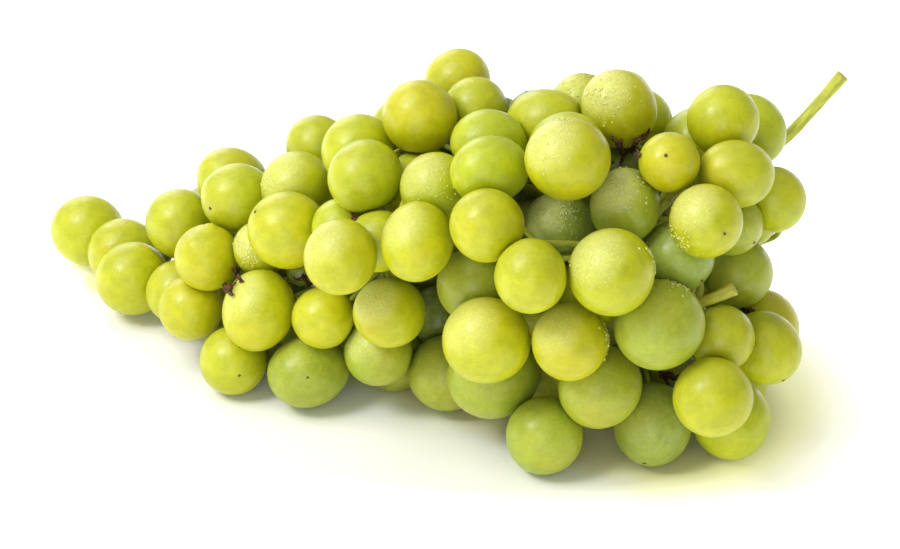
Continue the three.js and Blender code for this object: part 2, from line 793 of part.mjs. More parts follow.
// Tubes joined into one body, each made thicker by "extra".
function joinTubes(tubes, extra) {
  return tubes
    .map(({ points, radii, sides }) => tube(points, radii.map((r) => r + extra), sides))
    .map(toSolid)
    .reduce((whole, part) => whole.add(part));
}

addPiece('stem', joinTubes(stemTubes, 0), COLOURS.stem, ROUGHNESS.stem);

const stemClearance = joinTubes(stemTubes, GAP);
const underTable = toSolid(new THREE.BoxGeometry(400, 400, 40).translate(0, 0, -20));
for (let k = 0; k < SPRAYS; k += 1) {
  const mates = berries.filter((berry) => berry.spray === k);
  const solid = mates
    .map((berry) => toSolid(facetBerry(berry, berries)))
    .reduce((whole, part) => whole.add(part))
    .subtract(underTable)
    .subtract(stemClearance);
  const height = mates.reduce((sum, berry) => sum + berry.at.z, 0) / mates.length;
  const colour = skinColour(height);
  addPiece(`spray_${String(k + 1).padStart(2, '0')}`, solid, colour, ROUGHNESS.skin);
}

export default bunch;
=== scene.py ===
"""A bunch of green table grapes on a pale surface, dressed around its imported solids.

The berries of each spray and the branching stem are laid out by the same rules as the
solids and built finer. Small berries inside, blossom ends, water drops and dried remains
are added. Lengths are millimetres until a mesh is made.
"""

from __future__ import annotations

import json
import logging
import math
from dataclasses import dataclass, field
from enum import Enum
from typing import Any

import bpy
import numpy as np
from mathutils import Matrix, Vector

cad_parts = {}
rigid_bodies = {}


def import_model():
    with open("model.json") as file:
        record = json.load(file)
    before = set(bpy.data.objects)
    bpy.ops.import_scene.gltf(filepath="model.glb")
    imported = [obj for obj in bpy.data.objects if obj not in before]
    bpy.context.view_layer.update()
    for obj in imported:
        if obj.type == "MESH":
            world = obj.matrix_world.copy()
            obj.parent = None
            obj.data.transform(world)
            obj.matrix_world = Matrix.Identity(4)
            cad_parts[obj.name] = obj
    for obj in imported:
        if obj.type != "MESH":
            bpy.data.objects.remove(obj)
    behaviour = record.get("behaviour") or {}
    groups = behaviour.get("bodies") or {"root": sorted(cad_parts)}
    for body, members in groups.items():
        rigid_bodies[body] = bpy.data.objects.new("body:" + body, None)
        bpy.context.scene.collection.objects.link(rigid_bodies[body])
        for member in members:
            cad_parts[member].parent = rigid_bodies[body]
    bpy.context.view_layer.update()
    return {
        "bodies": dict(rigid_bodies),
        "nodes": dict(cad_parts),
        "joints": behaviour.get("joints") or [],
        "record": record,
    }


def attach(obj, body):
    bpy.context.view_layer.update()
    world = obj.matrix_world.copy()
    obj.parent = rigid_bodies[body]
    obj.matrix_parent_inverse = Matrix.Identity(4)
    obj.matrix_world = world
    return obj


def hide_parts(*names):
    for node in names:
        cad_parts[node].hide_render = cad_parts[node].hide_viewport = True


Rows = tuple[tuple[Any, ...], ...]
Faces = list[list[int]]
Socket = bpy.types.NodeSocket

LOG = logging.getLogger("grapes")
MM = 0.001
GOLDEN = 0.618034
# the middle of the bunch's box in the layout, which the part's frame starts from
MIDDLE = (-15.67, 1.41)
# eight directions round a spot
EIGHTHS = np.arange(8) * np.pi / 4
WHEEL = np.stack([np.cos(EIGHTHS), np.sin(EIGHTHS)], axis=1)
# the rings of a low dome: radius and height, as shares of its own, and how deep its foot is
CAP_RINGS = ((0.8, -0.6), (1.0, 0.0), (0.72, 0.68))
CAP_FOOT = 0.6


# ------------------------------------------------------------------ small tools


def linear(hex_colour: str) -> np.ndarray:
    """Turns an sRGB hex colour into linear red, green and blue.

    Args:
        hex_colour: The colour, such as "#c9cf35".

    Returns:
        Three linear values from 0 to 1.
    """
    channels = np.array([int(hex_colour[k : k + 2], 16) for k in (1, 3, 5)]) / 255
    low = channels / 12.92
    high = ((channels + 0.055) / 1.055) ** 2.4
    return np.where(channels <= 0.04045, low, high)


def unit(vectors: np.ndarray) -> np.ndarray:
    """Returns the vectors scaled to length one, along the last axis."""
    length = np.linalg.norm(vectors, axis=-1, keepdims=True)
    return vectors / np.maximum(length, 1e-12)


def basis_for(axes: np.ndarray) -> np.ndarray:
    """Builds an upright basis for each axis, whose third row is the axis.

    Args:
        axes: Unit vectors, shape (n, 3).

    Returns:
        Rows first, second and axis for each, shape (n, 3, 3).
    """
    helper = np.where(np.abs(axes[:, 2:3]) < 0.9, [[0.0, 0.0, 1.0]], [[1.0, 0.0, 0.0]])
    first = unit(np.cross(helper, axes))
    second = np.cross(axes, first)
    return np.stack([first, second, axes], axis=1)


def ring_faces(rows: int, sides: int) -> Faces:
    """Finds the faces of a closed form: an end point, rings of points, an end point.

    Each face joins two neighbours on a ring to the same two on the next ring, or to the
    end point beyond the last one.

    Args:
        rows: How many rings.
        sides: Points on each.

    Returns:
        The faces, which point outwards where the rings turn right about the way along.
    """
    k = np.arange(sides)
    after = (k + 1) % sides
    start = 1 + sides * np.arange(rows - 1)[:, None]
    body = np.stack([start + k, start + after, start + after + sides, start + k + sides], -1)
    last = 1 + rows * sides
    near = np.stack([0 * k, 1 + after, 1 + k], axis=1)
    far = np.stack([0 * k + last, last - sides + k, last - sides + after], axis=1)
    return body.reshape(-1, 4).tolist() + near.tolist() + far.tolist()


def point_colour(colour: np.ndarray, count: int) -> np.ndarray:
    """Repeats a linear colour, with full alpha, for this many points."""
    return np.tile([*colour, 1.0], (count, 1))


@dataclass
class Shell:
    """Points, faces and point values gathered for one piece, in layout millimetres."""

    points: list[np.ndarray] = field(default_factory=list)
    faces: Faces = field(default_factory=list)
    values: dict[str, list[np.ndarray]] = field(default_factory=dict)
    count: int = 0

    def add(self, points: np.ndarray, faces: Faces, **values: np.ndarray) -> None:
        """Adds one closed form.

        Args:
            points: Its points, shape (n, 3).
            faces: Its faces as lists of point numbers from 0.
            values: Named point values, each of n rows.
        """
        self.points.append(points)
        self.faces.extend([[k + self.count for k in face] for face in faces])
        for name, rows in values.items():
            self.values.setdefault(name, []).append(rows)
        self.count += len(points)


class Piece:
    """Makes a finished Blender object from a shell, in the part's own frame."""

    def __init__(self, middle: tuple[float, float]) -> None:
        """Keeps the middle of the bunch's box, which the part's frame starts from."""
        self.shift = np.array([middle[0], middle[1], 0.0])

    def build(
        self,
        name: str,
        shell: Shell,
        material: bpy.types.Material,
        slot: str | None,
        replaced: tuple[str, ...] = (),
    ) -> None:
        """Puts the shell into a mesh that rides on the bunch.

        Args:
            name: The piece's name.
            shell: Its form.
            material: Its finish.
            slot: The record's slot of the solid that it stands for, if it has one. It is not used.
            replaced: The solids that it stands for.
        """
        points = (np.concatenate(shell.points) - self.shift) * MM
        mesh = bpy.data.meshes.new(name)
        mesh.from_pydata(points.tolist(), [], shell.faces)
        for key, rows in shell.values.items():
            data = np.concatenate(rows)
            kind = "FLOAT_COLOR" if data.ndim == 2 else "FLOAT"
            attribute = mesh.attributes.new(key, kind, "POINT")
            attribute.data.foreach_set("color" if data.ndim == 2 else "value", data.ravel())
        mesh.polygons.foreach_set("use_smooth", np.ones(len(mesh.polygons), bool))
        mesh.materials.append(material)
        mesh.update()
        piece = bpy.data.objects.new(name, mesh)
        bpy.context.scene.collection.objects.link(piece)
        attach(piece, "root")
        if replaced:
            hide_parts(*replaced)
        triangles = sum(len(face) - 2 for face in shell.faces)
        LOG.info("%s: %d triangles", name, triangles)


# ------------------------------------------------------------------ the viewpoint


@dataclass(frozen=True)
class Viewpoint:
    """The viewpoint that the show side is laid out from.

    The sight plane faces it through the centre, and the frame takes in sight_width of it.
    """

    azimuth_deg: float = 17.0
    elevation_deg: float = 30.0
    distance: float = 700.0
    centre: tuple[float, float, float] = (0.0, 0.0, 30.0)
    sight_width: float = 225.0
    sensor: float = 36.0
    # how near and how far the camera sees, in metres
    clip: tuple[float, float] = (0.05, 20.0)

    @property
    def back(self) -> np.ndarray:
        """The direction from the bunch towards the viewpoint."""
        azimuth, elevation = np.radians([self.azimuth_deg, self.elevation_deg])
        return np.array([
            np.sin(azimuth) * np.cos(elevation),
            -np.cos(azimuth) * np.cos(elevation),
            np.sin(elevation),
        ])

    @property
    def right(self) -> np.ndarray:
        """The direction to the right as seen."""
        azimuth = np.radians(self.azimuth_deg)
        return np.array([np.cos(azimuth), np.sin(azimuth), 0.0])

    @property
    def up(self) -> np.ndarray:
        """The direction upwards as seen."""
        return np.cross(self.back, self.right)

    def way(self, across: float, up: float, back: float) -> np.ndarray:
        """The direction with these parts to the right, upwards and to the viewpoint."""
        return unit(self.right * across + self.up * up + self.back * back)

    def on_sight(self, across: Any, up: Any, depth: Any) -> np.ndarray:
        """Finds the points that are seen at (across, up) on the sight plane.

        Args:
            across: Millimetres to the right on the sight plane.
            up: Millimetres upwards on it.
            depth: Millimetres in front of it.

        Returns:
            The points, shape (..., 3).
        """
        near = 1 - np.asarray(depth, float) / self.distance
        return (
            np.array(self.centre)
            + (across * near)[..., None] * self.right
            + (up * near)[..., None] * self.up
            + np.asarray(depth, float)[..., None] * self.back
        )

    def seen_from(self, points: np.ndarray) -> tuple[np.ndarray, np.ndarray, np.ndarray]:
        """Finds where points are seen.

        Args:
            points: Shape (..., 3).

        Returns:
            Across and up on the sight plane, and depth in front of it.
        """
        offset = points - np.array(self.centre)
        depth = offset @ self.back
        near = 1 - depth / self.distance
        return offset @ self.right / near, offset @ self.up / near, depth

    def place_camera(self, shift: np.ndarray) -> None:
        """Makes the camera at this viewpoint and gives it to the scene.

        Args:
            shift: What is taken from a layout point to bring it into the part's frame.
        """
        data = bpy.data.cameras.new("camera")
        data.sensor_width = self.sensor
        data.lens = self.sensor * self.distance / self.sight_width
        data.clip_start, data.clip_end = self.clip
        camera = bpy.data.objects.new("camera", data)
        aim = (np.array(self.centre) - shift) * MM
        camera.location = Vector(aim + self.back * self.distance * MM)
        camera.rotation_euler = Vector(self.back).to_track_quat("Z", "Y").to_euler()
        bpy.context.scene.collection.objects.link(camera)
        bpy.context.scene.camera = camera


# ------------------------------------------------------------------ the layout


class Tone(Enum):
    """The tones of ripening skin, by their everyday names, as sRGB. SHADE is painted
    shade: a darker tone for berries deep inside the bunch, where shade falls.
    """

    BUTTER = "#bcbe10"
    YELLOW = "#c3c311"
    LIME = "#bbc01a"
    GREEN = "#a5b036"
    LEAF = "#95a548"
    # painted shade: a darker tone for berries deep in the bunch
    SHADE = "#75833a"


@dataclass(frozen=True)
class Shown:
    """A berry of the show side.

    across and up are where it is seen, breadth its width as seen, ratio its length over
    breadth, tilt the direction of its length as seen, if that can be told, and lift how
    far it stands towards the viewpoint from the outline.
    """

    across: float
    up: float
    breadth: float
    ratio: float
    tilt: float | None
    lift: float
    tone: Tone


# the tones' short names in the list of berries
B, Y, L, G, F = Tone.BUTTER, Tone.YELLOW, Tone.LIME, Tone.GREEN, Tone.LEAF

SHOW = [
    Shown(*row)
    for row in [
        # the tip
        (-90.5, 11.0, 17.5, 1.06, None, -26, Y),
        (-81.5, 5.3, 17.4, 1.04, None, -4, Y),
        (-79.2, -1.0, 18.2, 1.04, None, 4, Y),
        (-67.3, 12.6, 17.5, 1.04, None, 0, L),
        (-60.7, 4.2, 16.6, 1.05, None, 4, Y),
        (-67.8, -4.3, 16.0, 1.05, None, 2, L),
        (-64.7, -8.3, 16.3, 1.03, None, 12, Y),
        # the slope up from the tip
        (-54.2, 22.8, 17.2, 1.14, -35, 8, Y),
        (-52.8, 19.0, 17.6, 1.08, -8, 4, L),
        (-38.0, 21.6, 18.4, 1.04, None, -2, L),
        (-40.6, 11.0, 19.7, 1.03, None, 6, Y),
        (-47.2, 6.6, 14.0, 1.03, None, -6, L),
        (-27.4, 4.5, 18.0, 1.08, 80, 8, B),
        (-17.8, 8.4, 15.6, 1.03, None, -4, L),
        (-21.3, 24.5, 18.0, 1.07, 45, 2, L),
        (-33.0, 31.7, 16.0, 1.05, None, -4, L),
        (-22.9, 31.0, 18.0, 1.06, 20, -2, Y),
        # the ridge
        (-7.5, 39.4, 18.5, 1.02, None, 6, Y),
        (1.8, 47.7, 16.8, 1.08, 65, 0, Y),
        (6.5, 41.3, 16.0, 1.04, None, -12, L),
        (-12.0, 36.5, 15.0, 1.04, None, -8, L),
        (9.8, 32.6, 17.6, 1.12, 0, -2, L),
        (-3.5, 21.6, 18.0, 1.03, None, -1, L),
        (10.0, 26.2, 17.2, 1.20, 12, 6, L),
        (-8.2, 8.2, 18.0, 1.17, 80, 5, Y),
        (9.3, 12.3, 18.4, 1.03, None, 4, B),
        # the lower left
        (-47.8, -8.8, 18.0, 1.18, 72, 14, Y),
        (-54.2, -21.5, 16.8, 1.05, 80, 0, L),
        (-31.7, -10.8, 15.7, 1.02, None, 4, Y),
        (-35.4, -24.2, 18.0, 1.18, 18, -3, G),
        (-17.9, -19.2, 16.8, 1.03, None, -3, G),
        (-15.2, -9.5, 17.8, 1.06, 0, 6, B),
        # the middle
        (6.3, -2.6, 19.5, 1.02, None, -4, G),
        (20.2, -0.3, 18.3, 1.03, 90, 10, L),
        (9.1, -16.5, 21.5, 1.03, 0, 10, B),
        (10.8, -25.2, 21.4, 1.10, 20, 0, G),
        (30.0, -16.9, 19.6, 1.02, None, 14, B),
        (-0.8, -24.5, 19.2, 1.02, None, -4, G),
        # the lower right
        (37.6, -28.1, 20.0, 1.10, 35, 12, G),
        (23.7, -40.2, 19.2, 1.02, None, 0, G),
        (52.3, -12.6, 22.9, 1.02, None, 4, G),
        (50.6, -37.5, 20.0, 1.05, 90, 0, F),
        (65.8, -30.6, 19.9, 1.02, None, 20, B),
        (70.3, -36.4, 19.4, 1.04, None, -3, L),
        (71.3, -27.0, 16.0, 1.03, None, -22, L),
        (78.9, -18.3, 17.6, 1.10, -55, -8, L),
        (77.8, -13.5, 19.0, 1.04, None, -24, Y),
        (68.0, -16.0, 16.4, 1.03, None, -10, L),
        # the upper right
        (72.0, 0.5, 17.8, 1.04, None, -20, G),
        (57.0, 4.7, 18.4, 1.04, None, -5, F),
        (40.3, 0.6, 21.9, 1.02, None, 10, B),
        (27.2, 12.0, 17.6, 1.08, 0, -6, F),
        (43.8, 17.2, 17.7, 1.12, 88, -1, G),
        (29.4, 28.8, 20.4, 1.06, 5, 7, B),
        (29.2, 32.0, 17.6, 1.12, 0, 0, L),
        (42.2, 41.4, 18.6, 1.10, -60, 2, Y),
        (47.0, 38.4, 17.0, 1.04, None, -10, L),
        (33.0, 42.4, 16.2, 1.04, None, -6, L),
        (23.7, 38.0, 17.0, 1.18, 0, -4, L),
        (54.8, 28.0, 15.2, 1.02, None, 6, Y),
        (68.3, 38.5, 18.0, 1.03, None, 22, Y),
        (75.2, 36.2, 17.4, 1.10, -55, 6, L),
        (71.6, 25.2, 16.8, 1.18, -5, 4, L),
        (64.0, 13.3, 18.6, 1.02, None, 7, B),
        (80.9, 18.8, 16.3, 1.05, None, -6, L),
        (70.2, 12.7, 16.0, 1.04, None, -12, G),
        (74.6, 14.8, 15.5, 1.04, None, -20, L),
        (61.5, 33.3, 17.0, 1.04, None, -14, L),
        # in the shade between the others
        (-26.8, 11.5, 15.5, 1.04, None, -8, L),
        (-13.5, -21.0, 16.0, 1.04, None, -20, F),
    ]
]


@dataclass(frozen=True)
class Outline:
    """The bunch's outline, lying on the table, as stations along the main stem."""

    # x, middle y, half breadth, height
    stations: Rows = (
        (-112, 24, 4, 14),
        (-100, 23, 11, 20),
        (-76, 18, 23, 36),
        (-50, 12, 33, 54),
        (-25, 9, 40, 70),
        (0, 8, 45, 82),
        (30, 8, 48, 86),
        (60, 10, 46, 82),
        (80, 12, 37, 70),
        (92, 14, 18, 56),
    )
    # how far before and behind the sight plane a berry's place is looked for
    search: float = 70.0
    # what is always left of the outline once a berry's radius is taken off
    least: float = 0.5

    def at(self, x: Any) -> tuple[np.ndarray, np.ndarray, np.ndarray]:
        """Finds the middle, half breadth and height of the outline at x."""
        rows = np.array(self.stations, float).T
        return tuple(np.interp(x, rows[0], rows[k]) for k in (1, 2, 3))

    def room_inside(self, points: np.ndarray, radius: float) -> np.ndarray:
        """Tells whether berries of this radius lie wholly inside.

        Args:
            points: Their centres, shape (n, 3).
            radius: Their radius.

        Returns:
            Above zero where a berry lies inside.
        """
        first, last = self.stations[0][0], self.stations[-1][0]
        middle, half, height = self.at(points[:, 0])
        across = (points[:, 1] - middle) / np.maximum(half - radius, self.least)
        upward = (points[:, 2] - height / 2) / np.maximum(height / 2 - radius, self.least)
        room = 1 - across**2 - upward**2
        outside = (points[:, 0] < first + radius) | (points[:, 0] > last - radius)
        return np.where(outside, -1.0, room)

    def first_depth(self, view: Viewpoint, across: float, up: float, radius: float) -> float:
        """Walks back along a sight line to the first place where the berry fits.

        Args:
            view: The viewpoint.
            across: Where the berry is seen, to the right.
            up: Where it is seen, upwards.
            radius: Its radius.

        Returns:
            Its depth in front of the sight plane.
        """
        depths = np.arange(self.search, -self.search, -1.0)
        points = view.on_sight(np.full_like(depths, across), np.full_like(depths, up), depths)
        room = self.room_inside(points, radius)
        fits = np.flatnonzero(room > 0)
        return float(depths[fits[0]] if len(fits) else depths[np.argmax(room)])


@dataclass
class MainStem:
    """The main stem, from the tip of the bunch to its cut end.

    Its leafy stretch carries the branches, and its bare one ends in the cut face.
    """

    view: Viewpoint
    # x, y, z, radius
    leafy: Rows = (
        (-90, 23, 9, 0.9),
        (-64, 17, 19, 1.2),
        (-32, 12, 34, 1.5),
        (0, 10, 41, 1.7),
        (30, 11, 46, 1.8),
        (54, 20, 50, 1.8),
        (67, 30, 55, 1.7),
    )
    # across, up, lift, radius
    bare: Rows = (
        (84.0, 34.4, 1, 1.55),
        (88.3, 38.6, 2, 1.45),
        (93.4, 44.4, 4, 1.45),
        (98.2, 49.8, 6, 1.7),
    )
    # steps from bead to bead, and how many beads lie on the leafy stretch
    steps: int = 30
    leafy_beads: int = 21

    def __post_init__(self) -> None:
        """Works out the beads of the stem."""
        bare = np.array(self.bare, float)
        self.points = np.concatenate([
            np.array(self.leafy, float)[:, :3],
            self.view.on_sight(bare[:, 0], bare[:, 1], bare[:, 2]),
        ])
        rows = np.array([*self.leafy, *self.bare], float)
        place = np.linspace(0, 1, self.steps + 1)
        self.at = np.array([self.curve(t) for t in place])
        self.radius = np.interp(place * (len(rows) - 1), np.arange(len(rows)), rows[:, 3])

    def curve(self, t: float) -> np.ndarray:
        """The point at t, from 0 to 1, on a centripetal spline through the stations."""
        return spline_point(self.points, t)

    def push(self, at: np.ndarray, radius: np.ndarray, press: float, gap: float) -> np.ndarray:
        """Finds the pushes that take berries clear of the stem.

        Args:
            at: Their centres, shape (n, 3).
            radius: Their radii.
            press: The share of its radius that a berry keeps.
            gap: The clearance.

        Returns:
            The push for each, shape (n, 3).
        """
        away = at[:, None] - self.at[None]
        length = np.linalg.norm(away, axis=2)
        overlap = radius[:, None] * press + self.radius[None] + gap - length
        worst = np.argmax(overlap, axis=1)
        rows = np.arange(len(at))
        depth = np.maximum(overlap[rows, worst], 0)
        return unit(away[rows, worst]) * depth[:, None]


def spline_point(points: np.ndarray, t: float) -> np.ndarray:
    """A point on a centripetal Catmull-Rom spline.

    Args:
        points: The spline's points, shape (n, 3).
        t: The place on it, from 0 to 1.

    Returns:
        The point.
    """
    last = len(points) - 1
    place = last * t
    k = min(int(np.floor(place)), last - 1)
    weight = place - k
    ends = np.concatenate([
        [2 * points[0] - points[1]],
        points,
        [2 * points[-1] - points[-2]],
    ])
    p0, p1, p2, p3 = ends[k : k + 4]
    # centripetal: each gap is the square root of the distance
    pairs = ((p0, p1), (p1, p2), (p2, p3))
    d0, d1, d2 = (max(np.sum((b - a) ** 2) ** 0.25, 1e-4) for a, b in pairs)
    start = ((p1 - p0) / d0 - (p2 - p0) / (d0 + d1) + (p2 - p1) / d1) * d1
    end = ((p2 - p1) / d1 - (p3 - p1) / (d1 + d2) + (p3 - p2) / d2) * d1
    square, cube = weight**2, weight**3
    return (
        p1
        + start * weight
        + (-3 * p1 + 3 * p2 - 2 * start - end) * square
        + (2 * p1 - 2 * p2 + start + end) * cube
    )


@dataclass
class Berries:
    """Every berry of the bunch, as arrays, laid by the rule of pressing neighbours."""

    view: Viewpoint
    outline: Outline
    stem: MainStem
    # the share of its radius that a berry keeps at a neighbour, the table and the stem
    neighbour_press: float = 0.95
    table_press: float = 0.955
    stem_press: float = 0.97
    gap: float = 0.3
    # show berries: rounds of sliding, the most that one is moved by another, how slowly
    # it goes home, how slowly the stem moves it, and how it leans back if nothing does
    slides: int = 400
    slide_most: float = 6.0
    slide_home: float = 50.0
    slide_stem: float = 4.0
    lean: float = 0.15
    # hidden berries: passes, how far in their shells are, where these start and end along
    # the bunch, the stride along and round, the fewest round, the free share of the radii,
    # the least radius and the spread above it, and the ratio of length to breadth
    passes: int = 2
    shells: tuple[int, ...] = (0, 15)
    ends: tuple[int, int] = (88, -104)
    stride: int = 6
    fewest: int = 6
    shell_room: float = 0.96
    shell_sizes: tuple[float, float] = (8.4, 1.5)
    hidden_ratio: float = 1.05
    # how they settle: rounds, how far a show berry and a hidden one push them off, how
    # far they draw together, and up to what share of the radii
    settles: int = 200
    firm: tuple[float, float] = (0.5, 0.3)
    draw: float = 0.04
    draw_near: float = 1.12
    # berries deep inside, laid the same way, and how widely a gap has to be enclosed
    inner_shells: tuple[int, ...] = (0, 9, 18, 27)
    inner_room: float = 0.85
    inner_sizes: tuple[float, float] = (6.6, 2.2)
    inner_slack: float = 6.0
    # small berries in the gaps: where they are looked for as least and most across and
    # up, from which depth to which, how far behind the show berries, and their radii
    small_box: tuple[float, float, float, float] = (-96.0, 92.0, -50.0, 52.0)
    small_front: float = 10.0
    small_back: float = -45.0
    small_behind: float = 4.0
    small_least: float = 1.2
    small_most: float = 5.5
    # sprays: how many, how far along the stem they start, the turn from one to the next,
    # how far out their hubs lie, and what a mate more or a gap costs a berry's choice
    sprays: int = 13
    hub_along: float = 0.64
    turn_deg: float = 137.5
    hub_out: float = 0.5
    crowd_cost: float = 4.0
    gap_cost: float = 20.0
    gap_free: float = 0.5
    # how far out a ball's rim is tested for cover, and the least square of how far a spot
    # near a berry's rim faces the viewpoint
    rim_share: float = 0.93
    least_out: float = 0.04

    def __post_init__(self) -> None:
        """Lays the show berries, then the hidden ones, and gathers the sprays."""
        self._lay_show()
        for _ in range(self.passes):
            self._fill(self.shells, self.shell_room, self.shell_sizes)
            self._settle()
        self.solid_count = len(self.at)
        self._gather()

    def _lay_show(self) -> None:
        """Slides the show berries along their sight lines until they press each other.

        Two berries touch where their centres are apart by the pressed sum of their
        radii. The part of that along the line of sight is the root of its square less
        the square of their sideways distance.
        """
        view = self.view
        across, up, breadth, ratio, lift = np.array(
            [[s.across, s.up, s.breadth, s.ratio, s.lift] for s in SHOW], float
        ).T
        start = lift + [
            self.outline.first_depth(view, a, u, b / 2) for a, u, b in zip(across, up, breadth)
        ]
        radius = breadth / 2 * np.sqrt(ratio) * (1 - start / view.distance)
        depth = start.copy()
        side = np.sign(start[:, None] - start[None])
        touching = (radius[:, None] + radius[None]) * self.neighbour_press
        for _ in range(self.slides):
            at = view.on_sight(across, up, depth)
            offset = at[:, None] - at[None]
            along = offset @ view.back
            sideways = np.maximum(np.sum(offset**2, axis=2) - along**2, 0)
            needed = np.sqrt(np.maximum(touching**2 - sideways, 0))
            lack = np.minimum(needed - along * side, self.slide_most)
            active = (needed > 0) & (lack > 0)
            np.fill_diagonal(active, False)
            total = np.sum(np.where(active, lack * side, 0), axis=1)
            count = 1 + active.sum(axis=1)
            clear = self.stem.push(at, radius, self.stem_press, self.gap) @ view.back
            lean = np.where(count == 1, self.lean, 0)
            home = (start - depth) / self.slide_home
            depth = depth + total / 2 / count + clear / self.slide_stem + home - lean
            low = radius * self.table_press - view.on_sight(across, up, depth)[:, 2]
            depth = depth + np.maximum(low, 0) / view.back[2]
        self.at = view.on_sight(across, up, depth)
        self.radius = radius
        self.ratio = ratio
        self.shown = np.ones(len(SHOW), bool)
        self.seen = (across, up, depth, radius / (1 - depth / view.distance))

    def covered(self, at: np.ndarray, radius: float, slack: float = 0.0) -> bool:
        """Tells whether the show berries cover a ball behind them, all over its disc.

        Args:
            at: The ball's centre.
            radius: Its radius.
            slack: How far round a spot in a gap the berries have to enclose it.

        Returns:
            True where all of its disc is covered.
        """
        across, up, depth = self.view.seen_from(at)
        rim = radius * self.rim_share / (1 - depth / self.view.distance)
        spots = np.array([across, up]) + np.vstack([WHEEL * rim, [[0.0, 0.0]]])
        show_x, show_y, show_depth, size = self.seen

        def behind(places: np.ndarray) -> np.ndarray:
            """Tells of each place whether a show berry stands before it."""
            apart = np.hypot(places[..., :1] - show_x, places[..., 1:] - show_y)
            return np.any((apart < size) & (show_depth > depth), axis=-1)

        hidden = behind(spots)
        if slack > 0:
            enclosed = np.ones(len(spots), bool)
            for reach in (slack, 2 * slack):
                around = behind(spots[:, None] + WHEEL[None] * reach)
                enclosed &= around.sum(axis=1) >= len(WHEEL) - 1
            hidden |= enclosed
        return bool(np.all(hidden))

    def _fill(
        self,
        shells: tuple[int, ...],
        room: float,
        sizes: tuple[float, float],
        beads: tuple[np.ndarray, np.ndarray] | None = None,
    ) -> int:
        """Adds hidden berries in shells from the outline inwards, wherever there is room.

        Args:
            shells: How far in each shell is.
            room: The share of the radii's sum that has to be free.
            sizes: The least radius and the spread above it.
            beads: Centres and radii of stem beads to stay clear of, if any.

        Returns:
            How many berries there were before.
        """
        before = len(self.at)
        for shell in shells:
            for x in range(*self.ends, -self.stride):
                middle, half, height = self.outline.at(x)
                turns = max(self.fewest, round(math.pi * (half + height / 2) / self.stride))
                for k in range(turns):
                    tally = len(self.at) - len(SHOW)
                    radius = sizes[0] + sizes[1] * ((tally * GOLDEN) % 1)
                    wide = half - radius - shell
                    tall = height / 2 - radius - shell
                    if wide < 0 or tall < 0:
                        continue
                    angle = k / turns * 2 * math.pi
                    at = np.array([
                        x,
                        middle + wide * math.cos(angle),
                        max(height / 2 + tall * math.sin(angle), radius * self.table_press),
                    ])
                    apart = np.linalg.norm(self.at - at, axis=1)
                    if np.any(apart <= (self.radius + radius) * room):
                        continue
                    if beads is not None:
                        away = np.linalg.norm(beads[0] - at, axis=1)
                        if np.any(away < beads[1] + radius * self.stem_press):
                            continue
                    elif self._stem_near(at, radius):
                        continue
                    slack = self.inner_slack if beads is not None else 0.0
                    if not self.covered(at, radius, slack):
                        continue
                    self._append(at, radius)
        return before

    def _stem_near(self, at: np.ndarray, radius: float) -> bool:
        """Tells whether the main stem is in the berry's way."""
        push = self.stem.push(at[None], np.array([radius]), self.stem_press, self.gap)
        return bool(np.linalg.norm(push) > 0)

    def _append(self, at: np.ndarray, radius: float) -> None:
        """Adds one hidden berry.

        Args:
            at: Its centre.
            radius: Its radius.
        """
        self.at = np.vstack([self.at, at])
        self.radius = np.append(self.radius, radius)
        self.ratio = np.append(self.ratio, self.hidden_ratio)
        self.shown = np.append(self.shown, False)

    def _settle(self) -> None:
        """Lets the hidden berries push apart or draw together, and drops any in sight."""
        hidden = np.flatnonzero(~self.shown)
        for _ in range(self.settles):
            away = self.at[hidden][:, None] - self.at[None]
            apart = np.maximum(np.linalg.norm(away, axis=2), 1e-9)
            total = self.radius[hidden][:, None] + self.radius[None]
            overlap = total * self.neighbour_press - apart
            firm = np.where(self.shown, *self.firm)[None]
            factor = np.where(overlap > 0, overlap * firm / apart, self.draw * overlap / apart)
            factor = np.where(apart < total * self.draw_near, factor, 0)
            factor[np.arange(len(hidden)), hidden] = 0
            move = np.sum(away * factor[..., None], axis=1)
            move += self.stem.push(self.at[hidden], self.radius[hidden], self.stem_press, self.gap)
            self.at[hidden] += move
            low = self.radius[hidden] * self.table_press
            self.at[hidden, 2] = np.maximum(self.at[hidden, 2], low)
        keep = np.array([
            self.shown[i] or self.covered(self.at[i], self.radius[i]) for i in range(len(self.at))
        ])
        self.at, self.radius = self.at[keep], self.radius[keep]
        self.ratio, self.shown = self.ratio[keep], self.shown[keep]

    def _gather(self) -> None:
        """Gathers the berries into sprays that hold together, from a hub each."""
        hubs = []
        for k in range(self.sprays):
            root = self.stem.curve(self.hub_along * (k + 0.5) / self.sprays)
            _, half, height = self.outline.at(root[0])
            turn = k * math.radians(self.turn_deg)
            side = np.array([0, math.cos(turn) * half, math.sin(turn) * height / 2])
            hubs.append(root + side * self.hub_out)
        hubs = np.array(hubs)
        self.spray = np.full(len(self.at), -1)
        away = np.linalg.norm(self.at[:, None] - hubs[None], axis=2)
        for k in range(self.sprays):
            free = np.where(self.spray < 0, away[:, k], np.inf)
            self.spray[np.argmin(free)] = k
        sizes = np.ones(self.sprays)
        apart = np.linalg.norm(self.at[:, None] - self.at[None], axis=2)
        gap = apart - self.radius[:, None] - self.radius[None]
        while np.any(self.spray < 0):
            cost = away[:, self.spray] + self.crowd_cost * sizes[self.spray]
            cost = cost + self.gap_cost * np.maximum(gap - self.gap_free, 0)
            cost[self.spray >= 0] = np.inf
            cost[:, self.spray < 0] = np.inf
            berry, mate = np.unravel_index(np.argmin(cost), cost.shape)
            self.spray[berry] = self.spray[mate]
            sizes[self.spray[mate]] += 1

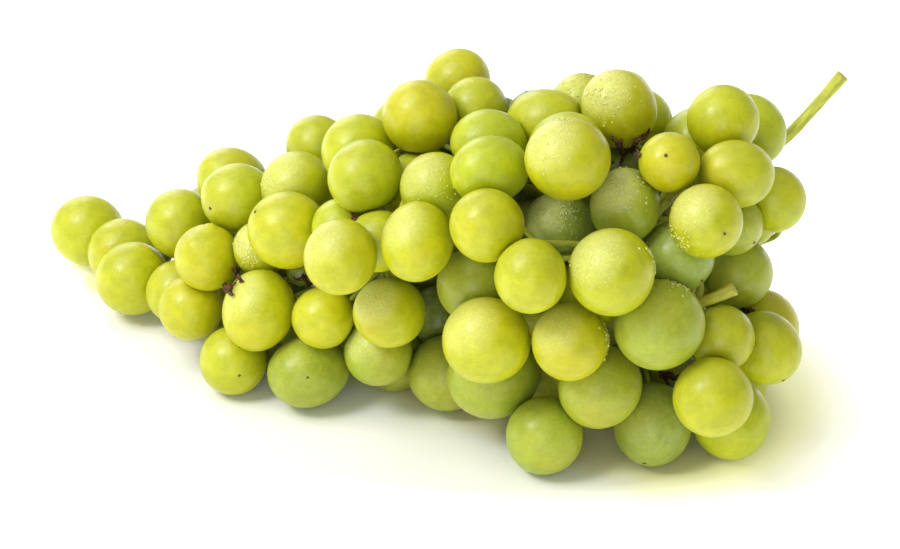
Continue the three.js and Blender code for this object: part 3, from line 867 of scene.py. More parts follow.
    def fill_inside(self, beads: tuple[np.ndarray, np.ndarray]) -> None:
        """Adds the berries deep inside and behind, which the solids leave out.

        Args:
            beads: Centres and radii of the stem's beads.
        """
        before = len(self.at)
        deep = []
        for shell in self.inner_shells:
            start = self._fill((shell,), self.inner_room, self.inner_sizes, beads)
            deep += [shell > 0] * (len(self.at) - start)
        deep += [True] * self._fill_gaps(beads)
        self.deep = np.array(deep)
        for i in range(before, len(self.at)):
            gap = np.linalg.norm(self.at[:before] - self.at[i], axis=1) - self.radius[:before]
            mate = int(np.argmin(gap))
            self.spray = np.append(self.spray, self.spray[mate])
            to_stem = self.stem.at - self.at[i]
            axis = unit(to_stem[np.argmin(np.linalg.norm(to_stem, axis=1))])
            self.axis = np.vstack([self.axis, axis])
            self.pole = np.vstack([self.pole, axis])

    def _fill_gaps(self, beads: tuple[np.ndarray, np.ndarray]) -> int:
        """Sets small unripe berries where the bunch could be seen through. They take the
        SHADE tone, painted shade.

        Args:
            beads: Centres and radii of the stem's beads.

        Returns:
            How many there are.
        """
        view = self.view
        show_x, show_y, show_depth, size = self.seen
        rings = np.vstack([WHEEL * self.inner_slack, WHEEL * self.inner_slack * 2])
        start = len(self.at)
        depths = np.arange(self.small_front, self.small_back, -1.0)
        left, right, low, high = self.small_box
        for across in np.arange(left, right, 1.0):
            for up in np.arange(low, high, 1.0):
                around = np.array([across, up]) + rings
                apart = np.hypot(around[:, :1] - show_x, around[:, 1:] - show_y)
                hits = np.any(apart < size, axis=1).reshape(2, -1).sum(axis=1)
                if hits.min() < len(WHEEL) - 1:
                    continue
                beside = np.hypot(across - show_x, up - show_y) < size + self.inner_slack
                x, y, depth = view.seen_from(self.at)
                size_seen = self.radius / (1 - depth / view.distance)
                if np.any(np.hypot(x - across, y - up) < size_seen):
                    continue
                places = view.on_sight(
                    np.full_like(depths, across), np.full_like(depths, up), depths
                )
                free = np.linalg.norm(places[:, None] - self.at[None], axis=2) - self.radius
                stems = np.linalg.norm(places[:, None] - beads[0][None], axis=2) - beads[1]
                room = np.minimum(free.min(axis=1) + self.gap, stems.min(axis=1))
                room = np.minimum(room, np.minimum(places[:, 2], self.small_most))
                room[depths > np.median(show_depth[beside]) - self.small_behind] = -1.0
                best = int(np.argmax(room))
                if room[best] > self.small_least:
                    self._append(places[best], float(room[best]))
        return len(self.at) - start

    def reach(self, i: int, directions: np.ndarray) -> np.ndarray:
        """Finds how far a berry's skin is from its centre.

        The skin is an ellipsoid: the square of the reach is the square of the radius over
        the square of the cosine to its length over the ratio, plus the square of the sine
        times the ratio.

        Args:
            i: The berry.
            directions: Unit directions, shape (..., 3).

        Returns:
            The reach in each.
        """
        square = (directions @ self.axis[i]) ** 2
        return self.radius[i] / np.sqrt(square / self.ratio[i] + (1 - square) * self.ratio[i])

    def skin_point(self, i: int, direction: np.ndarray) -> np.ndarray:
        """The point of a berry's skin in a direction from its centre."""
        return self.at[i] + direction * self.reach(i, direction)

    def facing(self, i: int, across: float, up: float) -> np.ndarray:
        """Finds the direction from a show berry's centre to a spot seen on it.

        Args:
            i: The berry.
            across: Where the spot is seen, to the right.
            up: Where it is seen, upwards.

        Returns:
            The direction.
        """
        size = self.seen[3][i]
        dx = (across - SHOW[i].across) / size
        dy = (up - SHOW[i].up) / size
        return self.view.way(dx, dy, math.sqrt(max(1 - dx * dx - dy * dy, self.least_out)))


@dataclass
class StemWork:
    """Threads the branches and pedicels through the gaps between the berries."""

    berries: Berries
    stem: MainStem
    view: Viewpoint
    branch_radius: float = 1.1
    pedicel_radius: float = 0.65
    collar_radius: float = 1.2
    collar_length: float = 1.8
    # how much larger than its ball a berry counts, and the clearance
    swell: float = 1.04
    gap: float = 0.3
    path_steps: int = 7
    fork_steps: int = 3
    # rounds and pull of bending the stem and of threading a path
    bends: int = 60
    bend_pull: float = 0.2
    threads: int = 80
    thread_pull: float = 0.3
    # how far a bead in sight steps back in one round; at how many places a straight
    # stretch is tested, and what part of the gap it may take
    hide_step: float = 0.6
    thin_tests: int = 6
    thin_part: int = 3
    # hubs: how far on from the nearest bead they root, how far out they lie, and rounds
    root_ahead: int = 2
    hub_out: float = 0.55
    hub_rounds: int = 60
    # pedicels: their lean to the stem's thick end and away from the viewpoint, and rounds
    lean_on: float = 0.35
    lean_back: float = 0.5
    pole_rounds: int = 40
    stub_rounds: int = 20
    # the beads of the main stem and of the cut side branch, and how far apart beads are
    bead_radii: tuple[float, float] = (1.8, 1.4)
    bead_step: float = 2.0
    # across, up, lift, radius
    stub: Rows = (
        (58.5, -9.4, 31, 1.3),
        (63.0, -7.3, 35, 1.35),
        (67.0, -5.4, 37, 1.35),
        (71.2, -3.6, 38, 1.7),
    )

    def push(self, at: np.ndarray, radius: float, skip: int = -1) -> np.ndarray:
        """Finds the push that takes a bead clear of the berries.

        Args:
            at: The bead's centre.
            radius: Its radius.
            skip: A berry that doesn't count.

        Returns:
            The push.
        """
        away = at - self.berries.at
        length = np.linalg.norm(away, axis=1)
        overlap = self.berries.radius * self.swell + radius + self.gap - length
        if skip >= 0:
            overlap[skip] = -1
        worst = int(np.argmax(overlap))
        if overlap[worst] <= 0:
            return np.zeros(3)
        return away[worst] / max(length[worst], 1e-9) * overlap[worst]

    def hide(self, at: np.ndarray, radius: float) -> np.ndarray:
        """Finds a small step away from the viewpoint, where the berries don't hide a bead.

        Args:
            at: The bead's centre.
            radius: Its radius.

        Returns:
            The step.
        """
        if self.berries.covered(at, radius):
            return np.zeros(3)
        return self.view.back * -self.hide_step

    def bend_stem(self) -> None:
        """Bends the leafy stretch of the main stem clear of the berries."""
        at, radius = self.stem.at, self.stem.radius
        for _ in range(self.bends):
            for k in range(self.stem.leafy_beads):
                if k > 0:
                    at[k] += ((at[k - 1] + at[k + 1]) / 2 - at[k]) * self.bend_pull
                at[k] += self.push(at[k], radius[k])

    def thread(self, start: np.ndarray, end: np.ndarray, radius: float) -> np.ndarray:
        """Draws a path tight between fixed ends, pushed out of the berries and of sight.

        Args:
            start: Where it starts.
            end: Where it ends.
            radius: Its radius.

        Returns:
            Its points, shape (path_steps + 1, 3).
        """
        share = np.linspace(0, 1, self.path_steps + 1)[:, None]
        points = start + (end - start) * share
        for _ in range(self.threads):
            for k in range(1, self.path_steps):
                middle = (points[k - 1] + points[k + 1]) / 2
                points[k] += (middle - points[k]) * self.thread_pull
                points[k] += self.hide(points[k], radius)
                points[k] += self.push(points[k], radius)
        return points

    def thin(self, points: np.ndarray, radius: float) -> np.ndarray:
        """Drops the bends that a path doesn't need to stay clear of the berries.

        Args:
            points: The path's points.
            radius: Its radius.

        Returns:
            The points that are kept.
        """
        kept = list(points)
        tests, slack = self.thin_tests, self.gap / self.thin_part
        for k in range(len(kept) - 2, 0, -1):
            gap = kept[k + 1] - kept[k - 1]
            beads = [kept[k - 1] + gap * f / tests for f in range(1, tests)]
            if all(np.linalg.norm(self.push(b, radius)) < slack for b in beads):
                kept.pop(k)
        return np.array(kept)

    def forks(self, points: np.ndarray) -> list[np.ndarray]:
        """Finds where a later stem may fork off a path: along its straight stretches.

        Args:
            points: The path's points.

        Returns:
            The places.
        """
        return [
            a + (b - a) * (f + 1) / self.fork_steps
            for a, b in zip(points[:-1], points[1:])
            for f in range(self.fork_steps)
        ]

    def find_pole(self, i: int, hub: np.ndarray) -> tuple[np.ndarray, np.ndarray]:
        """Finds where a berry's pedicel meets it: towards the hub, clear of neighbours.

        Args:
            i: The berry.
            hub: Where its spray's branch forks.

        Returns:
            The direction of its length, and that of its pedicel.
        """
        berries = self.berries
        at, radius = berries.at[i], berries.radius[i]
        to_hub = unit(hub - at)
        to_hub[0] += self.lean_on
        pole = unit(to_hub)
        tilt = SHOW[i].tilt if i < len(SHOW) else None
        if tilt is not None:
            angle = math.radians(tilt)
            long = self.view.right * math.cos(angle) + self.view.up * math.sin(angle)
            pole = long * (-1 if long @ to_hub < 0 else 1)
        if berries.shown[i]:
            pole = unit(pole - self.view.back * self.lean_back)
        axis = pole.copy()
        stand = radius + self.gap + 2 * self.collar_radius
        for _ in range(self.pole_rounds):
            tip = at + pole * stand
            tip = tip + self.hide(tip, self.collar_radius)
            tip = tip + self.push(tip, self.collar_radius, i)
            pole = unit(tip - at)
        return (pole.copy() if tilt is None else axis), pole

    def grow(self) -> None:
        """Grows the main stem, the branches, the pedicels and the cut side branch."""
        berries, stem = self.berries, self.stem
        self.bend_stem()
        berries.axis = np.zeros((len(berries.at), 3))
        berries.pole = np.zeros((len(berries.at), 3))
        self.branches: list[tuple[np.ndarray, float]] = []
        self.pedicels: list[tuple[np.ndarray, np.ndarray, int]] = []
        for k in range(berries.sprays):
            mates = np.flatnonzero(berries.spray == k)
            centre = berries.at[mates].mean(axis=0)
            nearest = int(np.argmin(np.linalg.norm(stem.at[: stem.leafy_beads] - centre, axis=1)))
            root = stem.at[min(nearest + self.root_ahead, stem.leafy_beads)]
            hub = root + (centre - root) * self.hub_out
            for _ in range(self.hub_rounds):
                hub = hub + self.push(hub, self.branch_radius)
            branch = self.thin(self.thread(root, hub, self.branch_radius), self.branch_radius)
            self.branches.append((branch, self.branch_radius))
            joints = self.forks(branch)
            order = np.argsort(np.linalg.norm(berries.at[mates] - hub, axis=1), kind="stable")
            for i in mates[order]:
                berries.axis[i], pole = self.find_pole(i, hub)
                berries.pole[i] = pole
                tip = berries.at[i] + pole * (berries.reach(i, pole) * self.swell + self.gap)
                neck = tip + pole * self.collar_length
                start = joints[int(np.argmin([np.linalg.norm(j - neck) for j in joints]))]
                path = self.thread(start, neck, self.pedicel_radius)
                path = self.thin(path, self.pedicel_radius)
                joints.extend(self.forks(path)[: -self.fork_steps])
                self.pedicels.append((path, pole, int(i)))
        self._grow_stub()

    def _grow_stub(self) -> None:
        """Threads the cut side branch out from the main stem to its cut face."""
        rows = np.array(self.stub, float)
        bare = self.view.on_sight(rows[:, 0], rows[:, 1], rows[:, 2])
        for _ in range(self.stub_rounds):
            for k in range(len(bare)):
                bare[k] += self.push(bare[k], rows[0, 3])
        leafy = self.stem.at[: self.stem.leafy_beads]
        root = leafy[int(np.argmin(np.linalg.norm(leafy - bare[0], axis=1)))]
        hidden = self.thin(self.thread(root, bare[0], rows[0, 3]), rows[0, 3])
        self.stub_path = np.concatenate([hidden, bare[1:]])
        self.stub_radii = np.append(np.full(len(hidden), rows[0, 3]), rows[1:, 3])

    def beads(self) -> tuple[np.ndarray, np.ndarray]:
        """Lays every stretch of stem out as beads.

        Returns:
            Centres, shape (n, 3), and radii.
        """
        main, stub = self.bead_radii
        runs = [(self.stem.at, main), (self.stub_path, stub), *self.branches]
        runs += [(path, self.pedicel_radius) for path, _, _ in self.pedicels]
        centres, radii = [], []
        for path, radius in runs:
            for a, b in zip(path[:-1], path[1:]):
                count = max(int(np.linalg.norm(b - a) / self.bead_step), 1)
                share = (np.arange(count) / count)[:, None]
                centres.append(a + (b - a) * share)
                radii.append(np.full(count, radius))
        return np.concatenate(centres), np.concatenate(radii)


# ------------------------------------------------------------------ finishes


def rgba(hex_colour: str) -> tuple[float, float, float, float]:
    """A linear colour with full alpha, for a socket."""
    return (*linear(hex_colour), 1.0)


def add_node(
    tree: bpy.types.NodeTree,
    kind: str,
    settings: dict[str, Any] | None = None,
    values: dict[str | int, Any] | None = None,
    links: dict[str | int, Socket] | None = None,
    stops: Rows = (),
) -> bpy.types.Node:
    """Adds a node with its settings, socket values and links.

    Args:
        tree: The material's node tree.
        kind: The node's type, such as "ShaderNodeTexNoise".
        settings: Its own settings by name.
        values: Values of its input sockets, by name or number.
        links: Sockets that feed its inputs, by name or number.
        stops: The places and colours of its colour ramp, if it has one.

    Returns:
        The node.
    """
    node = tree.nodes.new(kind)
    for name, value in (settings or {}).items():
        setattr(node, name, value)
    for key, value in (values or {}).items():
        node.inputs[key].default_value = value
    for key, source in (links or {}).items():
        tree.links.new(source, node.inputs[key])
    if stops:
        elements = node.color_ramp.elements
        for _ in range(len(stops) - len(elements)):
            elements.new(1.0)
        for element, (place, colour) in zip(elements, stops):
            element.position, element.color = place, rgba(colour)
    return node


def blank_material(name: str) -> tuple[bpy.types.Material, bpy.types.NodeTree, Socket]:
    """Makes a material with nothing but the place on the piece.

    Args:
        name: Its name.

    Returns:
        The material, its node tree and the socket that gives the place.
    """
    material = bpy.data.materials.new(name)
    material.use_nodes = True
    tree = material.node_tree
    tree.nodes.clear()
    return material, tree, add_node(tree, "ShaderNodeTexCoord").outputs["Object"]


@dataclass(frozen=True)
class Layer:
    """A colour that lies over a finish where a pattern shows.

    Its share grows from nothing to most as the pattern goes from start to end.
    """

    pattern: str
    start: float
    end: float
    most: float
    colour: str
    blend: str = "MIX"


def lay_over(
    tree: bpy.types.NodeTree,
    colour: Socket,
    patterns: dict[str, Socket],
    layers: tuple[Layer, ...],
) -> Socket:
    """Lays layers over a varying colour, one after the other.

    Args:
        tree: The material's node tree.
        colour: The varying colour.
        patterns: The patterns by name.
        layers: The layers, the lowest first.

    Returns:
        The colour with the layers over it.
    """
    for layer in layers:
        share = add_node(
            tree, "ShaderNodeMapRange", None,
            {"From Min": layer.start, "From Max": layer.end, "To Min": 0.0, "To Max": layer.most},
            {"Value": patterns[layer.pattern]},
        )
        # its colours go in at 6 and 7 and come out at 2
        mixed = add_node(
            tree, "ShaderNodeMix", {"data_type": "RGBA", "blend_type": layer.blend},
            {7: rgba(layer.colour)}, {0: share.outputs[0], 6: colour},
        )
        colour = mixed.outputs[2]
    return colour


@dataclass(frozen=True)
class Finish:
    """A finish, told by its patterns, the layers over its base colour, and its relief."""

    name: str = ""
    # patterns that the piece's points carry: name, attribute
    carried: Rows = ()
    # cloudy patterns: name, the width of a cloud in millimetres, detail, roughness
    clouds: Rows = ()
    # the attribute that gives the clouds their place in millimetres, if one does
    along: str = ""
    # scattered spots: name, and how far apart they are in millimetres
    spots: Rows = ()
    # a pattern and the places and colours of the base colour in it; where there is none,
    # the points carry the base colour as their tone
    base: str = ""
    stops: Rows = ()
    layers: tuple[Layer, ...] = ()
    # what stands up from the surface: pattern, strength, height in millimetres
    relief: Rows = ()
    # what the roughness follows: pattern, its start and end, the roughness at both
    rough: Rows = ()
    # the shader's own values
    values: Rows = ()

    def patterns(self, tree: bpy.types.NodeTree, here: Socket) -> dict[str, Socket]:
        """Makes the patterns.

        Args:
            tree: The material's node tree.
            here: The place on the piece.

        Returns:
            The patterns by name.
        """
        seen, place, unit_size = {}, here, MM
        for name, attribute in self.carried:
            node = add_node(tree, "ShaderNodeAttribute", {"attribute_name": attribute})
            seen[name] = node.outputs["Fac"]
        if self.along:
            node = add_node(tree, "ShaderNodeAttribute", {"attribute_name": self.along})
            place, unit_size = node.outputs["Vector"], 1.0
        for name, size, detail, roughness in self.clouds:
            node = add_node(
                tree, "ShaderNodeTexNoise", None,
                {"Scale": 1 / (size * unit_size), "Detail": detail, "Roughness": roughness},
                {"Vector": place},
            )
            seen[name] = node.outputs["Fac"]
        for name, size in self.spots:
            node = add_node(
                tree, "ShaderNodeTexVoronoi", {"feature": "F1"},
                {"Scale": 1 / (size * MM), "Randomness": 1.0}, {"Vector": here},
            )
            seen[name] = node.outputs["Distance"]
        return seen

    def make(self) -> bpy.types.Material:
        """Builds the material.

        Returns:
            The material.
        """
        material, tree, here = blank_material(self.name)
        seen = self.patterns(tree, here)
        surface: dict[str, Socket] = {}
        for pattern, strength, height in self.relief:
            node = add_node(
                tree, "ShaderNodeBump", None, {"Strength": strength, "Distance": height * MM},
                {"Height": seen[pattern], **surface},
            )
            surface = {"Normal": node.outputs[0]}
        for pattern, start, end, first, last in self.rough:
            node = add_node(
                tree, "ShaderNodeMapRange", None,
                {"From Min": start, "From Max": end, "To Min": first, "To Max": last},
                {"Value": seen[pattern]},
            )
            surface["Roughness"] = node.outputs[0]
        if self.stops:
            node = add_node(
                tree, "ShaderNodeValToRGB", links={"Fac": seen[self.base]}, stops=self.stops
            )
        else:
            node = add_node(tree, "ShaderNodeAttribute", {"attribute_name": "tone"})
        surface["Base Color"] = lay_over(tree, node.outputs["Color"], seen, self.layers)
        shader = add_node(
            tree, "ShaderNodeBsdfPrincipled", {"subsurface_method": "RANDOM_WALK"},
            dict(self.values), surface,
        )
        add_node(tree, "ShaderNodeOutputMaterial", links={"Surface": shader.outputs[0]})
        return material


@dataclass(frozen=True)
class GrapeSkin(Finish):
    """Thin waxy grape skin over clear flesh.

    The flesh scatters light, so a berry glows where light comes through it. The skin
    has a grainy pale bloom, slow changes of tone, breathing pores, a few dark specks
    and rare brown scuffs. On the side towards the lamps and the viewpoint lies dew, a
    pale layer that is painted highlight, with fine beads in it that make the skin rough
    and lighter still as a painted grainy highlight.
    """

    name: str = "grape_skin"
    # wet is the dew, a pale layer painted as highlight on the side towards the lamps
    carried: Rows = (("wet", "dew"),)
    clouds: Rows = (
        ("blotch", 6.0, 2.0, 0.62),
        ("mottle", 2.6, 4.0, 0.62),
        ("ripening", 22.0, 1.0, 0.62),
        ("bloom", 1.5, 8.0, 0.62),
        ("vein", 3.4, 1.0, 0.62),
        ("scuff", 5.0, 6.0, 0.62),
        ("grain", 0.5, 3.0, 0.62),
    )
    spots: Rows = (("pore", 0.8), ("speck", 3.6))
    # half the height of a vein's ridge in its cloud, and where the grain becomes beads
    ridge: float = 0.03
    bead_edge: tuple[float, float] = (0.47, 0.60)
    layers: tuple[Layer, ...] = (
        Layer("blotch", 0.38, 0.72, 0.50, "#cfd894", "MULTIPLY"),
        Layer("mottle", 0.55, 0.40, 0.40, "#dde08c", "MULTIPLY"),
        Layer("ripening", 0.54, 0.74, 0.28, "#c8b01a"),
        Layer("bloom", 0.46, 0.70, 0.24, "#d4d83a"),
        Layer("ridge", 0.006, 0.0, 0.16, "#d4d83a"),
        Layer("pore", 0.18, 0.06, 0.24, "#d4d83a"),
        Layer("speck", 0.045, 0.02, 0.75, "#3f4514"),
        Layer("scuff", 0.70, 0.77, 0.35, "#8a7628"),
        # painted highlight: wet lays a pale layer on the lit side, and beads lighter grains in it
        Layer("wet", 0.0, 1.0, 0.52, "#e6e890"),
        Layer("beads", 0.0, 1.0, 0.58, "#e6e890"),
    )
    relief: Rows = (("grain", 0.5, 0.08), ("beads", 0.6, 0.09))
    rough: Rows = (("bloom", 0.40, 0.66, 0.30, 0.50),)
    values: Rows = (
        ("Subsurface Weight", 0.6),
        ("Subsurface Radius", (0.0034, 0.0031, 0.0010)),
        ("Subsurface Scale", 1.0),
        ("IOR", 1.40),
        ("Coat Weight", 0.18),
        ("Coat Roughness", 0.22),
    )

    def patterns(self, tree: bpy.types.NodeTree, here: Socket) -> dict[str, Socket]:
        """Makes the patterns, and from them the veins' ridges and the beads of dew, which
        are a painted grainy highlight.

        Args:
            tree: The material's node tree.
            here: The place on the piece.

        Returns:
            The patterns by name.
        """
        seen = super().patterns(tree, here)
        start, end = self.bead_edge
        bead = add_node(
            tree, "ShaderNodeMapRange", None,
            {"From Min": start, "From Max": end, "To Min": 0.0, "To Max": 1.0},
            {"Value": seen["grain"]},
        )
        for name, operation, values, links in (
            ("ridge", "PINGPONG", {1: self.ridge}, {0: seen["vein"]}),
            ("beads", "MULTIPLY", None, {0: bead.outputs[0], 1: seen["wet"]}),
        ):
            node = add_node(tree, "ShaderNodeMath", {"operation": operation}, values, links)
            seen[name] = node.outputs[0]
        return seen


@dataclass(frozen=True)
class GreenStem(Finish):
    """Fresh grape stem: matt green bark with fine ridges and brown pores, tan where cut.
    The side branch is tan all along, partly drying and partly painted shade among the
    berries.
    """

    name: str = "green_stem"
    carried: Rows = (("dry", "dryness"),)
    clouds: Rows = (("streak", 1.1, 4.0, 0.6),)
    along: str = "bark"
    spots: Rows = (("pore", 2.6),)
    base: str = "streak"
    stops: Rows = ((0.38, "#a4a938"), (0.58, "#c3c843"))
    layers: tuple[Layer, ...] = (
        Layer("pore", 0.14, 0.06, 0.5, "#7a5a24"),
        # on the side branch this tan is partly painted shade
        Layer("dry", 0.0, 1.0, 1.0, "#a8843a"),
    )
    relief: Rows = (("streak", 0.5, 0.12),)
    values: Rows = (
        ("Roughness", 0.52),
        ("Subsurface Weight", 0.2),
        ("Subsurface Radius", (0.0012, 0.0012, 0.0004)),
        ("Subsurface Scale", 1.0),
    )


@dataclass(frozen=True)
class DryBark(Finish):
    """Dried brown pedicels and blossom ends: dark and rough, with paler broken ends."""

    name: str = "dry_bark"
    clouds: Rows = (("grain", 0.9, 5.0, 0.65),)
    base: str = "grain"
    stops: Rows = ((0.40, "#2a120a"), (0.74, "#8a6234"))
    relief: Rows = (("grain", 0.8, 0.2),)
    values: Rows = (("Roughness", 0.8),)


@dataclass(frozen=True)
class Water(Finish):
    """Fine drops of water in plain gloss, coloured with painted light: the skin's tone as
    seen through clear water, a little lighter for the light that they catch.
    """

    name: str = "water"
    clouds: Rows = (("ripple", 1 / 2.2, 2.0, 0.5),)
    relief: Rows = (("ripple", 0.1, 0.02),)
    values: Rows = (("Roughness", 0.10), ("IOR", 1.333))


# ------------------------------------------------------------------ the berries


@dataclass
class BerrySkins:
    """The fine skins of the berries, a piece for each spray."""

    berries: Berries
    sectors: int = 48
    rings: int = 32
    inner_sectors: int = 28
    inner_rings: int = 18
    # the slow swell: its waves along each axis, and its height over the radius
    waves: tuple[float, float, float] = (3.1, 2.7, 3.4)
    swell: float = 0.006
    # flats: how softly they round over, for how many such widths that is worked out, how
    # far short of the common plane they stop, and how near a neighbour or the table has to be
    press_blend: float = 0.35
    table_blend: float = 0.2
    blends: float = 30.0
    press_in: float = 0.03
    near: float = 1.2
    # the dimple round the pedicel: millimetres and radians
    dimple_depth: float = 0.5
    dimple_width: float = 0.16
    # tones: below which heights a hidden berry is green, and how much each channel varies
    low: float = 24.0
    high: float = 48.0
    change: tuple[float, float, float] = (0.05, 0.03, 0.05)
    seed: int = 11
    # which side of a berry the dew lies on, a pale layer painted as highlight: towards the
    # lamps at the upper left and the viewpoint, as across, up and back
    dew_side: tuple[float, float, float] = (-0.50, 0.50, 0.70)
    dew_least: float = 0.10
    # the cosine to that side at which the dew and its painted highlight start, and how far
    # on they are full
    dew_edge: tuple[float, float] = (0.55, 0.40)
    # berries of the show side by how much dew and painted highlight they carry
    dewy: Rows = (
        (1.0, (11, 52, 55)),
        (0.8, (31, 50, 51, 53, 63)),
        (0.6, (12, 9, 22, 24, 26, 30, 34, 36, 57)),
    )
    # berry, and where a swelling is seen on it: across, up; its radius and height
    swellings: Rows = (
        (4, -59.6, 12.0, 1.3, 1.2),
        (4, -64.0, 7.8, 1.9, 0.6),
    )

    def dew(self, i: int, directions: np.ndarray) -> np.ndarray:
        """Finds how much dew lies on a berry's skin, a pale layer painted as highlight, which
        eases in towards the lit side.

        Args:
            i: The berry.
            directions: Unit directions from its centre.

        Returns:
            The dew and painted highlight in each, from 0 to 1.
        """
        amount = next((much for much, rows in self.dewy if i in rows), self.dew_least)
        start, width = self.dew_edge
        side = self.berries.view.way(*self.dew_side)
        reach = np.clip((directions @ side - start) / width, 0, 1)
        return amount * reach * reach * (3 - 2 * reach)

    def tones(self) -> np.ndarray:
        """Chooses the tone of each berry, with a small change each.

        Returns:
            Their linear colours, shape (n, 3).
        """
        rng = np.random.default_rng(self.seed)
        berries = self.berries
        colours = []
        for i, at in enumerate(berries.at):
            if i < len(SHOW):
                tone = SHOW[i].tone
            # berries deep inside and the small ones in the gaps take SHADE, a painted shade
            elif i >= berries.solid_count and berries.deep[i - berries.solid_count]:
                tone = Tone.SHADE
            elif at[2] < self.low:
                tone = Tone.LEAF if i % 3 else Tone.GREEN
            elif at[2] < self.high:
                tone = Tone.GREEN if i % 2 else Tone.LIME
            else:
                tone = Tone.LIME if i % 2 else Tone.YELLOW
            change = 1 + rng.uniform(-1.0, 1.0, 3) * self.change
            colours.append(linear(tone.value) * change)
        return np.array(colours)

    def grid(self, sectors: int, rings: int) -> tuple[np.ndarray, Faces]:
        """Spreads a ball's directions on rings from pole to pole.

        A direction is the sines and cosines of two angles: down from the pole and round.

        Args:
            sectors: Faces round.
            rings: Faces from pole to pole.

        Returns:
            Unit directions, the first and last being the poles, and the faces.
        """
        polar = np.pi * np.arange(1, rings) / rings
        turn = 2 * np.pi * np.arange(sectors) / sectors
        polar, turn = np.meshgrid(polar, turn, indexing="ij")
        body = np.stack(
            [np.sin(polar) * np.cos(turn), np.sin(polar) * np.sin(turn), np.cos(polar)], axis=-1
        ).reshape(-1, 3)
        points = np.concatenate([[[0.0, 0.0, 1.0]], body, [[0.0, 0.0, -1.0]]])
        # its rings turn left about the way down, so each face runs the other way round
        return points, [[face[0], *face[:0:-1]] for face in ring_faces(rings - 1, sectors)]

    def form(self, i: int, directions: np.ndarray, rng: np.random.Generator) -> np.ndarray:
        """Works out a berry's skin.

        The skin is an ellipsoid of the berry's radius, its ratio longer along its axis,
        with a slow random swell, a dimple round its pedicel, and soft flats where it
        presses a neighbour or the table.

        Args:
            i: The berry.
            directions: Unit directions in the berry's own frame, its pole first.
            rng: The source of its small differences.

        Returns:
            The skin's points in the layout.
        """
        berries = self.berries
        radius = berries.radius[i]
        world = directions @ basis_for(berries.pole[i : i + 1])[0]
        phase = rng.uniform(0, 2 * np.pi, 3)
        waves = np.sin(world * self.waves + phase).sum(axis=1)
        reach = berries.reach(i, world) * (1 + self.swell * waves)
        angle = np.arccos(np.clip(directions[:, 2], -1, 1))
        reach = reach - self.dimple_depth * np.exp(-((angle / self.dimple_width) ** 2))
        for berry, across, up, wide, tall in self.swellings:
            if berry == i:
                middle = berries.facing(i, across, up)
                away = radius * np.arccos(np.clip(world @ middle, -1, 1)) / wide
                reach = reach + tall * np.exp(-(away**2))
        skin = world * reach[:, None]
        away = berries.at - berries.at[i]
        apart = np.linalg.norm(away, axis=1)
        close = (apart < (berries.radius + radius) * self.near) & (apart > 0)
        for j in np.flatnonzero(close):
            normal = away[j] / apart[j]
            plane = (apart[j] ** 2 + radius**2 - berries.radius[j] ** 2) / (2 * apart[j])
            out = skin @ normal
            pressed = self.soft_least(out, plane - self.press_in, self.press_blend)
            skin += (pressed - out)[:, None] * normal
        skin = skin + berries.at[i]
        if berries.at[i, 2] < radius * self.near:
            skin[:, 2] = -self.soft_least(-skin[:, 2], 0.0, self.table_blend)
        return skin

    def soft_least(self, values: np.ndarray, limit: float, blend: float) -> np.ndarray:
        """The lesser of values and a limit, rounded over by the blend, in millimetres."""
        gap = np.clip((values - limit) / blend, -self.blends, self.blends)
        return values - blend * np.log1p(np.exp(gap))

    def build(self, piece: Piece, slots: dict[str, str], skin: bpy.types.Material) -> None:
        """Builds the skins of every spray.

        Args:
            piece: What makes the objects.
            slots: The record's slot of each solid.
            skin: The finish.
        """
        rng = np.random.default_rng(self.seed + 1)
        fine = self.grid(self.sectors, self.rings)
        coarse = self.grid(self.inner_sectors, self.inner_rings)
        tones = self.tones()
        for k in range(self.berries.sprays):
            shell = Shell()
            for i in np.flatnonzero(self.berries.spray == k):
                directions, faces = fine if i < self.berries.solid_count else coarse
                points = self.form(int(i), directions, rng)
                tone = point_colour(tones[i], len(points))
                way = unit(points - self.berries.at[i])
                # the dew that each point carries is a pale layer painted as highlight on its lit
                # side
                shell.add(points, faces, tone=tone, dew=self.dew(int(i), way))
            node = f"spray_{k + 1:02d}"
            piece.build(f"berries_{k + 1:02d}", shell, skin, slots[node], (node,))


# ------------------------------------------------------------------ the stem


